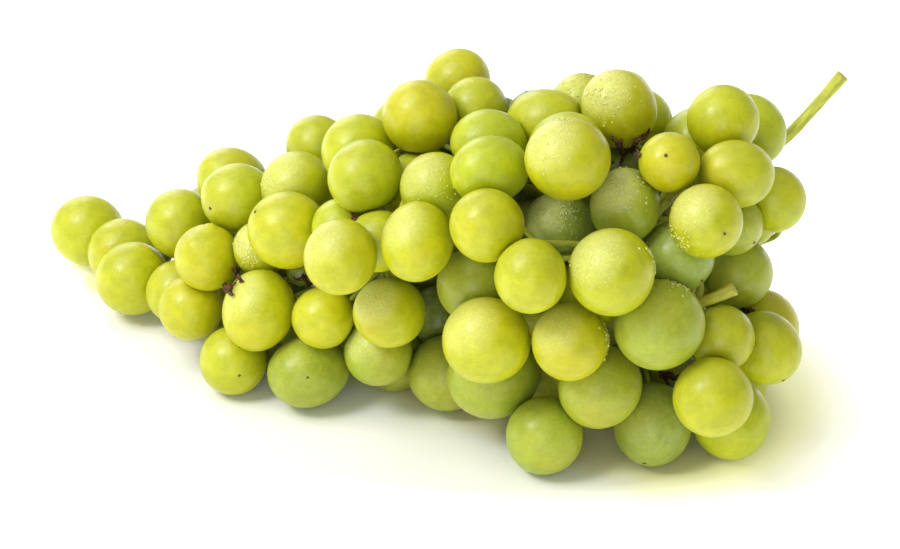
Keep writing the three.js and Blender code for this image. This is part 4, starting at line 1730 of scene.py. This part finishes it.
@dataclass
class StemSkins:
    """The fine stem: main stem, branches, pedicels with their collars, and cut ends."""

    work: StemWork
    # faces round a branch, the main stem and a pedicel, and how far apart the rings are
    sides: int = 12
    main_sides: int = 20
    pedicel_sides: int = 10
    step: float = 1.2
    # bark: how far a streak is drawn out along the stem, and where it starts on each run
    streak: float = 0.22
    streak_start: tuple[float, float, float] = (1.0, 0.7, 0.4)
    # waves round a run: how many, how they turn from ring to ring, and their height
    waves: Rows = ((3, 0.17, 1.0), (2, -0.4, 0.6))
    # how uneven the thick runs are, and the thin ones
    rough: tuple[float, float] = (0.035, 0.06)
    # pedicels: how deep they end in the skin, where the collar starts, and their radius
    # at the root, at the collar's start and at its end, as shares
    sunk: float = 0.45
    collar_neck: float = 0.7
    root_share: float = 1.3
    collar_shares: tuple[float, float] = (0.95, 1.1)
    # cut ends: how many rings dry, how much, how dry the face is; and how tan the side
    # branch is all along, partly from drying and partly as painted shade
    cut_rings: int = 3
    cut_dryness: float = 0.35
    face_dryness: float = 0.5
    stub_dryness: float = 0.24

    def tube(
        self, points: np.ndarray, radii: np.ndarray, sides: int, rough: float
    ) -> tuple[np.ndarray, Faces, np.ndarray]:
        """Carries a slightly uneven circle along a path, closed at both ends.

        Its frame is carried from point to point with as little turn as the path allows.
        The radius varies with slow waves round it, which wander along the way.

        Args:
            points: The path, shape (n, 3).
            radii: The radius at each point.
            sides: Faces round.
            rough: How uneven the circle is, as a share of its radius.

        Returns:
            The tube's points and faces, and for each point its place on the bark:
            twice round the tube and once along it, in millimetres.
        """
        tangent = unit(np.gradient(points, axis=0))
        frame = np.zeros_like(points)
        frame[0] = basis_for(tangent[:1])[0, 0]
        for k in range(1, len(points)):
            frame[k] = unit(frame[k - 1] - tangent[k] * (frame[k - 1] @ tangent[k]))
        second = np.cross(tangent, frame)
        turn = 2 * np.pi * np.arange(sides) / sides
        along = np.arange(len(points))[:, None]
        uneven = 1 + rough * sum(
            tall * np.sin(count * turn + drift * along) for count, drift, tall in self.waves
        )
        ring = (
            np.cos(turn)[None, :, None] * frame[:, None]
            + np.sin(turn)[None, :, None] * second[:, None]
        )
        body = points[:, None] + ring * (radii[:, None] * uneven)[..., None]
        everything = np.concatenate([points[:1], body.reshape(-1, 3), points[-1:]])
        length = np.concatenate([[0], np.cumsum(np.linalg.norm(np.diff(points, axis=0), axis=1))])
        bark = np.zeros((*body.shape[:2], 4))
        bark[..., 0] = np.cos(turn) * radii[:, None]
        bark[..., 1] = np.sin(turn) * radii[:, None]
        bark[..., 2] = (length * self.streak)[:, None] + points[0] @ self.streak_start
        flat = bark.reshape(-1, 4)
        faces = ring_faces(len(points), sides)
        return everything, faces, np.concatenate([flat[:1], flat, flat[-1:]])

    def smooth(self, points: np.ndarray, radii: np.ndarray) -> tuple[np.ndarray, np.ndarray]:
        """Rounds a path through its points, at even steps.

        Args:
            points: The path's points.
            radii: The radius at each.

        Returns:
            The rounded path and its radii.
        """
        length = np.linalg.norm(np.diff(points, axis=0), axis=1).sum()
        count = max(int(length / self.step), 3)
        place = np.linspace(0, 1, count + 1)
        path = np.array([spline_point(points, t) for t in place])
        return path, np.interp(place * (len(points) - 1), np.arange(len(points)), radii)

    def form(self) -> Shell:
        """Works out the whole stem as one form.

        Returns:
            The form, whose points carry their place on the bark and how dry they are, the side
            branch partly with painted shade.
        """
        work = self.work
        shell = Shell()
        stem = work.stem
        # path, radii, sides, how dry its cut end is, how dry all of it is, which on the side
        # branch is partly painted shade
        runs = [(stem.at, stem.radius, self.main_sides, 1.0, 0.0)]
        runs.append((work.stub_path, work.stub_radii, self.main_sides, 1.0, self.stub_dryness))
        for path, radius in work.branches:
            runs.append((path, np.full(len(path), radius), self.sides, 0.0, 0.0))
        for path, pole, i in work.pedicels:
            reach = work.berries.reach(i, pole) - self.sunk
            tip = work.berries.at[i] + pole * reach
            path = np.vstack([path, path[-1] - pole * self.collar_neck, tip])
            radii = np.full(len(path), work.pedicel_radius)
            radii[0] *= self.root_share
            radii[-2:] = [work.collar_radius * share for share in self.collar_shares]
            runs.append((path, radii, self.pedicel_sides, 0.0, 0.0))
        thick, thin = self.rough
        for path, radii, sides, cut, dry in runs:
            points, sizes = self.smooth(path, radii)
            form, faces, bark = self.tube(points, sizes, sides, thick if cut else thin)
            ring = np.arange(len(points)) - len(points) + self.cut_rings
            share = np.clip(ring / self.cut_rings, 0, 1) * self.cut_dryness * cut
            share = np.maximum(share, dry)
            face = self.face_dryness * cut
            dryness = np.concatenate([[dry], np.repeat(share, sides), [face]])
            shell.add(form, faces, dryness=dryness, bark=bark)
        return shell


# ------------------------------------------------------------------ small remains


@dataclass
class BlossomEnds:
    """The dark blossom-end dot of each berry, a low rough cap sunk in the skin."""

    berries: Berries
    radius: float = 0.48
    height: float = 0.22
    sides: int = 10
    # the least and the greatest share of its radius that one has
    sizes: tuple[float, float] = (0.75, 1.2)
    uneven: float = 0.18
    # an unlisted one faces the viewpoint no more than this, and turns back and down
    facing_most: float = -0.1
    turn_back: float = 0.35
    turn_down: float = 0.6
    seed: int = 31
    # berry of the show side, and where its dot is seen: across, up
    seen: Rows = (
        (8, -59.3, 16.5),
        (10, -48.3, 15.5),
        (11, -53.7, 9.5),
        (26, -52.3, -17.8),
        (27, -52.1, -25.0),
        (29, -35.1, -25.5),
        (41, 48.4, -46.7),
        (45, 82.7, -26.0),
        (49, 62.5, -1.5),
        (59, 53.4, 29.4),
        (63, 67.9, 10.0),
        (65, 75.8, 7.8),
    )

    def direction(self, i: int) -> np.ndarray:
        """Finds where a berry's blossom end faces.

        Args:
            i: The berry.

        Returns:
            Its direction: as listed, or opposite its pedicel, and turned to the
            underside if it would face the viewpoint unlisted.
        """
        berries, view = self.berries, self.berries.view
        for k, across, up in self.seen:
            if k == i:
                return berries.facing(i, across, up)
        opposite = -berries.pole[i]
        facing = opposite @ view.back
        if berries.shown[i] and facing > self.facing_most:
            back = view.back * (facing + self.turn_back)
            return unit(opposite - back - view.up * self.turn_down)
        return opposite

    def form(self) -> Shell:
        """Works out every blossom end, as one form.

        Returns:
            The form.
        """
        rng = np.random.default_rng(self.seed)
        shell = Shell()
        for i in range(len(self.berries.at)):
            out = self.direction(i)
            at = self.berries.skin_point(i, out)
            size = self.radius * rng.uniform(*self.sizes)
            shell.add(*cap(at, out, size, self.height, self.sides, rng, self.uneven))
        return shell


def cap(
    at: np.ndarray,
    out: np.ndarray,
    radius: float,
    height: float,
    sides: int,
    rng: np.random.Generator,
    uneven: float,
) -> tuple[np.ndarray, Faces]:
    """Makes a low closed dome with its foot sunk in the skin.

    Its rings of uneven radius stand below the skin, at the skin and part of the way up.

    Args:
        at: Its middle on the skin.
        out: The skin's outward direction.
        radius: Its radius.
        height: Its height over the skin.
        sides: Faces round.
        rng: The source of its unevenness.
        uneven: How uneven its rim is.

    Returns:
        Its points and faces.
    """
    first, second, axis = basis_for(out[None])[0]
    turn = 2 * np.pi * np.arange(sides) / sides
    rim = 1 + uneven * rng.uniform(-1, 1, sides)
    ring = np.cos(turn)[:, None] * first + np.sin(turn)[:, None] * second
    points = [at - axis * height * CAP_FOOT]
    for wide, tall in CAP_RINGS:
        spread = (radius * wide * rim)[:, None]
        points.extend(at + axis * height * tall + ring * spread)
    points.append(at + axis * height)
    return np.array(points), ring_faces(len(CAP_RINGS), sides)


@dataclass
class WaterDrops:
    """Fine water drops on some berries of the show side."""

    berries: Berries
    tones: np.ndarray
    sides: int = 8
    height: float = 0.50
    # how far a drop's tone, painted as the skin seen through it, goes towards a pale one
    # for the light that it catches
    pale: str = "#f0f2b0"
    painted_glint_share: float = 0.42
    uneven: float = 0.06
    seed: int = 47
    # berry, how many drops, least and largest radius, which side they are on as across,
    # up and back, and how far they spread
    wet: Rows = (
        (9, 50, 0.18, 0.42, -0.75, 0.10, 0.45, 0.22),
        (11, 150, 0.16, 0.36, -0.2, -0.1, 0.9, 0.40),
        (22, 110, 0.15, 0.34, -0.1, 0.3, 0.8, 0.45),
        (36, 46, 0.20, 0.46, 0.95, 0.10, 0.05, 0.30),
        (40, 46, 0.18, 0.42, 0.35, 0.90, 0.10, 0.28),
        (50, 70, 0.24, 0.54, 0.93, 0.35, -0.05, 0.26),
        (50, 60, 0.15, 0.34, -0.60, 0.10, 0.7, 0.30),
        (51, 90, 0.15, 0.34, 0.1, 0.3, 0.8, 0.45),
        (52, 120, 0.16, 0.38, -0.1, 0.45, 0.8, 0.38),
        (53, 70, 0.22, 0.48, 0.0, 0.98, 0.02, 0.28),
        (53, 50, 0.15, 0.34, -0.4, 0.2, 0.8, 0.30),
        (55, 100, 0.16, 0.38, -0.4, 0.3, 0.7, 0.40),
        (63, 60, 0.18, 0.42, -0.7, -0.5, 0.4, 0.32),
        (57, 40, 0.16, 0.36, 0.0, 0.5, 0.7, 0.40),
    )

    def form(self) -> Shell:
        """Works out every drop, as one form.

        Returns:
            The form, whose points carry the tone of the skin below, a painted view through the
            water.
        """
        rng = np.random.default_rng(self.seed)
        view = self.berries.view
        shell = Shell()
        for i, count, least, most, across, up, back, spread in self.wet:
            middle = view.way(across, up, back)
            # painted light: the skin seen through the drop, lighter for its glint
            colour = self.tones[i] * (1 - self.painted_glint_share) + linear(self.pale) * self.painted_glint_share
            for _ in range(count):
                out = unit(middle + rng.normal(0, spread, 3))
                size = least + (most - least) * rng.random() ** 2
                at = self.berries.skin_point(i, out)
                tall = size * self.height
                form, faces = cap(at, out, size, tall, self.sides, rng, self.uneven)
                shell.add(form, faces, tone=point_colour(colour, len(form)))
        return shell


@dataclass
class DryRemains:
    """Dried brown pedicels and calyx scraps between the berries.

    Each is a short bent twig whose points are seen at (across, up). Its lift is how far
    it stands in front of the skin or stem found there, so it lies on what carries it.
    """

    berries: Berries
    stems: StemSkins
    # a twig: its radius as a share of what is listed, its sides, and how uneven it is
    stout: float = 1.05
    sides: int = 9
    rough: float = 0.22
    # crumbs at each of its points: how many, their size, spread and height as shares,
    # their sides, and how uneven they are
    crumbs: int = 5
    crumb_sizes: tuple[float, float] = (0.7, 1.3)
    crumb_spread: float = 0.9
    crumb_height: float = 1.1
    crumb_sides: int = 6
    crumb_rough: float = 0.4
    seed: int = 59
    # points as across, up, lift and radius
    twigs: tuple[Rows, ...] = (
        ((40.6, 34.0, 0.2, 0.30), (42.2, 32.6, 0.8, 0.45), (43.6, 30.6, 1.0, 0.55),
         (45.6, 31.2, 1.2, 0.50), (47.4, 29.8, 0.8, 0.35)),
        ((43.6, 30.6, 1.0, 0.45), (43.0, 28.6, 0.5, 0.32), (42.4, 26.8, 0.2, 0.22)),
        ((45.6, 31.2, 1.2, 0.40), (46.6, 33.4, 0.9, 0.55), (48.8, 34.6, 0.6, 0.50),
         (49.8, 36.0, 0.2, 0.30)),
        ((-54.0, 1.4, 0.2, 0.35), (-53.2, 0.4, 0.7, 0.55), (-52.4, -1.2, 0.4, 0.35)),
        ((-56.2, -2.6, 0.3, 0.40), (-55.4, -3.8, 0.6, 0.55), (-54.4, -5.2, 0.2, 0.30)),
        ((-53.6, -2.0, 0.2, 0.25), (-55.0, -3.2, 0.5, 0.35)),
        ((-24.6, 15.4, 0.2, 0.22), (-24.2, 14.2, 0.5, 0.34), (-23.4, 13.8, 0.3, 0.25)),
        ((-38.6, -1.4, 0.3, 0.30), (-36.6, -1.0, 0.5, 0.45), (-35.2, -2.6, 0.3, 0.30)),
        ((53.0, -25.0, 0.4, 0.45), (54.6, -25.2, 0.8, 0.65), (56.4, -26.0, 0.4, 0.45)),
        ((54.0, -25.8, 0.4, 0.50), (55.4, -25.6, 0.7, 0.40)),
        ((73.2, -8.8, 0.3, 0.35), (74.6, -9.2, 0.6, 0.50), (76.0, -9.4, 0.3, 0.35)),
    )

    def front(self, across: float, up: float) -> float:
        """Finds the depth of the nearest skin that is seen at a place.

        Args:
            across: The place, to the right.
            up: The place, upwards.

        Returns:
            The depth in front of the sight plane, or 0 where no berry is seen.
        """
        show_x, show_y, depth = self.berries.view.seen_from(self.berries.at)
        size = self.berries.radius / (1 - depth / self.berries.view.distance)
        apart = np.hypot(show_x - across, show_y - up)
        face = depth + np.sqrt(np.maximum(size**2 - apart**2, 0))
        face[apart >= size] = -np.inf
        return float(face.max()) if np.isfinite(face.max()) else 0.0

    def form(self) -> Shell:
        """Works out every twig and crumb, as one form.

        Returns:
            The form.
        """
        rng = np.random.default_rng(self.seed)
        shell = Shell()
        for twig in self.twigs:
            rows = np.array(twig, float)
            lift = np.array([self.front(a, u) for a, u in rows[:, :2]]) + rows[:, 2]
            path = self.berries.view.on_sight(rows[:, 0], rows[:, 1], lift)
            points, sizes = self.stems.smooth(path, rows[:, 3])
            form, faces, _ = self.stems.tube(points, sizes * self.stout, self.sides, self.rough)
            shell.add(form, faces)
            for k in np.repeat(np.arange(len(path)), self.crumbs):
                radius = rows[k, 3]
                out = unit(rng.normal(0, 1, 3))
                size = radius * rng.uniform(*self.crumb_sizes)
                near = path[k] + rng.normal(0, radius * self.crumb_spread, 3)
                tall = size * self.crumb_height
                shell.add(*cap(near, out, size, tall, self.crumb_sides, rng, self.crumb_rough))
        return shell


# ------------------------------------------------------------------ the studio


@dataclass(frozen=True)
class Studio:
    """A pale floor, which glows round the bunch and is tinted below it as painted light,
    and soft lights.
    """

    floor_half: float = 3.0
    floor_drop: float = 0.0002
    # the floor's painted light by how far out a place lies: none below the bunch, which
    # leaves a painted shadow there, a yellowish ring of painted light from the berries, and
    # pale grey farther out; 1 is the rim of the ground that the bunch covers, whose half
    # breadths are given along and across it
    painted_glow: Rows = (
        (0.84, "#000000"),
        (0.93, "#9c9c7c"),
        (1.02, "#b5b5a4"),
        (1.15, "#cbcbca"),
    )
    # the floor's tone, tinged with painted light: yellower and a little darker below the
    # bunch, for the light that comes through the berries and the shade there; here 1 is the
    # rim of a wedge from the tip to the broad end, given by x, y and half breadth at both,
    # and by how far its rim lies beyond them
    painted_light_tint: Rows = ((0.85, "#eeecbc"), (1.12, "#fafaf8"))
    tip: tuple[float, float, float, float] = (-0.085, 0.020, 0.009, 0.009)
    broad: tuple[float, float, float, float] = (0.075, 0.008, 0.045, 0.035)
    # how far out the painted light and the painted tinge are told
    reach: float = 2.0
    ground: tuple[float, float] = (0.112, 0.062)
    sky_strength: float = 0.42
    floor_roughness: float = 0.75
    sky_colour: tuple[float, float, float, float] = (1.0, 1.0, 0.98, 1.0)
    # name, across, up and back parts of its direction, distance and width in metres, watts
    lamps: Rows = (
        ("key", -0.50, 0.70, 0.50, 1.1, 0.80, 7.1),
        ("window", -0.60, 0.50, 0.62, 1.0, 0.26, 3.2),
        ("front", -0.10, -0.20, 0.95, 1.3, 0.80, 4.2),
        ("rim", -0.35, 0.75, -0.55, 1.2, 0.7, 4.0),
        ("far_rim", 0.60, 0.30, -0.74, 1.2, 0.5, 1.8),
    )

    def wedge(self, tree: bpy.types.NodeTree, place: Socket) -> Socket:
        """Finds how far out a place on the floor lies from the wedge below the bunch.

        It is the length of two parts: how far the place lies to the side of the wedge's
        middle line, over its half breadth there, and how far past its nearer end, over
        the rim there.

        Args:
            tree: The floor's node tree.
            place: The place.

        Returns:
            Below 1 inside the wedge.
        """
        parts = add_node(tree, "ShaderNodeSeparateXYZ", links={"Vector": place})
        (tip_x, tip_y, tip_half, tip_rim), (end_x, end_y, end_half, end_rim) = self.tip, self.broad
        known = {"x": parts.outputs[0], "y": parts.outputs[1]}
        for name, low, high in (("middle", tip_y, end_y), ("half", tip_half, end_half)):
            known[name] = add_node(
                tree, "ShaderNodeMapRange", None,
                {"From Min": tip_x, "From Max": end_x, "To Min": low, "To Max": high},
                {"Value": known["x"]},
            ).outputs[0]
        for name, operation, *pair in (
            ("aside", "SUBTRACT", "y", "middle"),
            ("side", "DIVIDE", "aside", "half"),
            ("beyond", "SUBTRACT", "x", end_x),
            ("past_end", "DIVIDE", "beyond", end_rim),
            ("before", "SUBTRACT", tip_x, "x"),
            ("past_tip", "DIVIDE", "before", tip_rim),
            ("farther", "MAXIMUM", "past_end", "past_tip"),
            ("past", "MAXIMUM", "farther", 0.0),
        ):
            values = {k: item for k, item in enumerate(pair) if isinstance(item, float)}
            links = {k: known[item] for k, item in enumerate(pair) if isinstance(item, str)}
            known[name] = add_node(
                tree, "ShaderNodeMath", {"operation": operation}, values, links
            ).outputs[0]
        both = add_node(
            tree, "ShaderNodeCombineXYZ", links={0: known["side"], 1: known["past"]}
        )
        length = add_node(
            tree, "ShaderNodeVectorMath", {"operation": "LENGTH"}, None,
            {"Vector": both.outputs[0]},
        )
        return length.outputs["Value"]

    def build(self, shift: np.ndarray, view: Viewpoint) -> None:
        """Builds the floor, the lights and the surrounding light.

        Args:
            shift: What is taken from a layout point to bring it into the part's frame.
            view: The viewpoint, from which the lights' places are told.
        """
        self.build_floor()
        scene = bpy.context.scene
        world = bpy.data.worlds.new("soft_room")
        world.use_nodes = True
        sky = world.node_tree.nodes["Background"]
        sky.inputs["Color"].default_value = self.sky_colour
        sky.inputs["Strength"].default_value = self.sky_strength
        scene.world = world
        centre = (np.array(view.centre) - shift) * MM
        for name, across, up, back, distance, width, watts in self.lamps:
            data = bpy.data.lights.new(name, "AREA")
            data.shape = "SQUARE"
            data.size = width
            data.energy = watts
            lamp = bpy.data.objects.new(name, data)
            way = view.way(across, up, back)
            lamp.location = Vector(centre + way * distance)
            lamp.rotation_euler = Vector(way).to_track_quat("Z", "Y").to_euler()
            scene.collection.objects.link(lamp)
        scene.view_settings.view_transform = "Standard"

    def build_floor(self) -> None:
        """Builds the floor, whose tone and emission, both painted light, change with how far out
        a place lies.
        """
        half = self.floor_half
        mesh = bpy.data.meshes.new("floor")
        corners = [(-half, -half), (half, -half), (half, half), (-half, half)]
        mesh.from_pydata([(x, y, -self.floor_drop) for x, y in corners], [], [[0, 1, 2, 3]])
        material, tree, place = blank_material("floor")
        shrunk = add_node(
            tree, "ShaderNodeMapping", None,
            {"Scale": (1 / self.ground[0], 1 / self.ground[1], 1.0)}, {"Vector": place},
        )
        away = add_node(
            tree, "ShaderNodeVectorMath", {"operation": "LENGTH"}, None,
            {"Vector": shrunk.outputs[0]},
        )
        colours = {}
        for socket, rings, out_from in (
            ("Base Color", self.painted_light_tint, self.wedge(tree, place)),
            ("Emission Color", self.painted_glow, away.outputs["Value"]),
        ):
            share = add_node(
                tree, "ShaderNodeMapRange", None,
                {"From Min": 0.0, "From Max": self.reach, "To Min": 0.0, "To Max": 1.0},
                {"Value": out_from},
            )
            stops = tuple((out / self.reach, colour) for out, colour in rings)
            ramp = add_node(
                tree, "ShaderNodeValToRGB", links={"Fac": share.outputs[0]}, stops=stops
            )
            colours[socket] = ramp.outputs[0]
        shader = add_node(
            tree, "ShaderNodeBsdfPrincipled", None,
            {"Roughness": self.floor_roughness, "Emission Strength": 1.0}, colours,
        )
        add_node(tree, "ShaderNodeOutputMaterial", links={"Surface": shader.outputs[0]})
        mesh.materials.append(material)
        floor = bpy.data.objects.new("floor", mesh)
        bpy.context.scene.collection.objects.link(floor)


# ------------------------------------------------------------------ the bunch


def main() -> None:
    """Builds the bunch around its solids and finishes."""
    logging.basicConfig(level=logging.INFO, format="%(name)s: %(message)s")
    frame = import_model()
    slots = {row["node"]: row["material_slot"] for row in frame["record"]["subparts"]}

    view = Viewpoint()
    piece = Piece(MIDDLE)
    view.place_camera(piece.shift)
    stem = MainStem(view)
    berries = Berries(view, Outline(), stem)
    work = StemWork(berries, stem, view)
    work.grow()
    berries.fill_inside(work.beads())
    LOG.info("%d berries, %d of them in the solids", len(berries.at), berries.solid_count)

    skins = BerrySkins(berries)
    skins.build(piece, slots, GrapeSkin().make())
    stems = StemSkins(work)
    drops = WaterDrops(berries, skins.tones())
    bark = DryBark().make()
    piece.build("stem_fine", stems.form(), GreenStem().make(), "stem", ("stem",))
    piece.build("blossom_ends", BlossomEnds(berries).form(), bark, "stem")
    piece.build("water_drops", drops.form(), Water().make(), None)
    piece.build("dry_remains", DryRemains(berries, stems).form(), bark, "stem")
    Studio().build(piece.shift, view)

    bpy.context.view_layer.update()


if __name__ == "__main__":
    main()
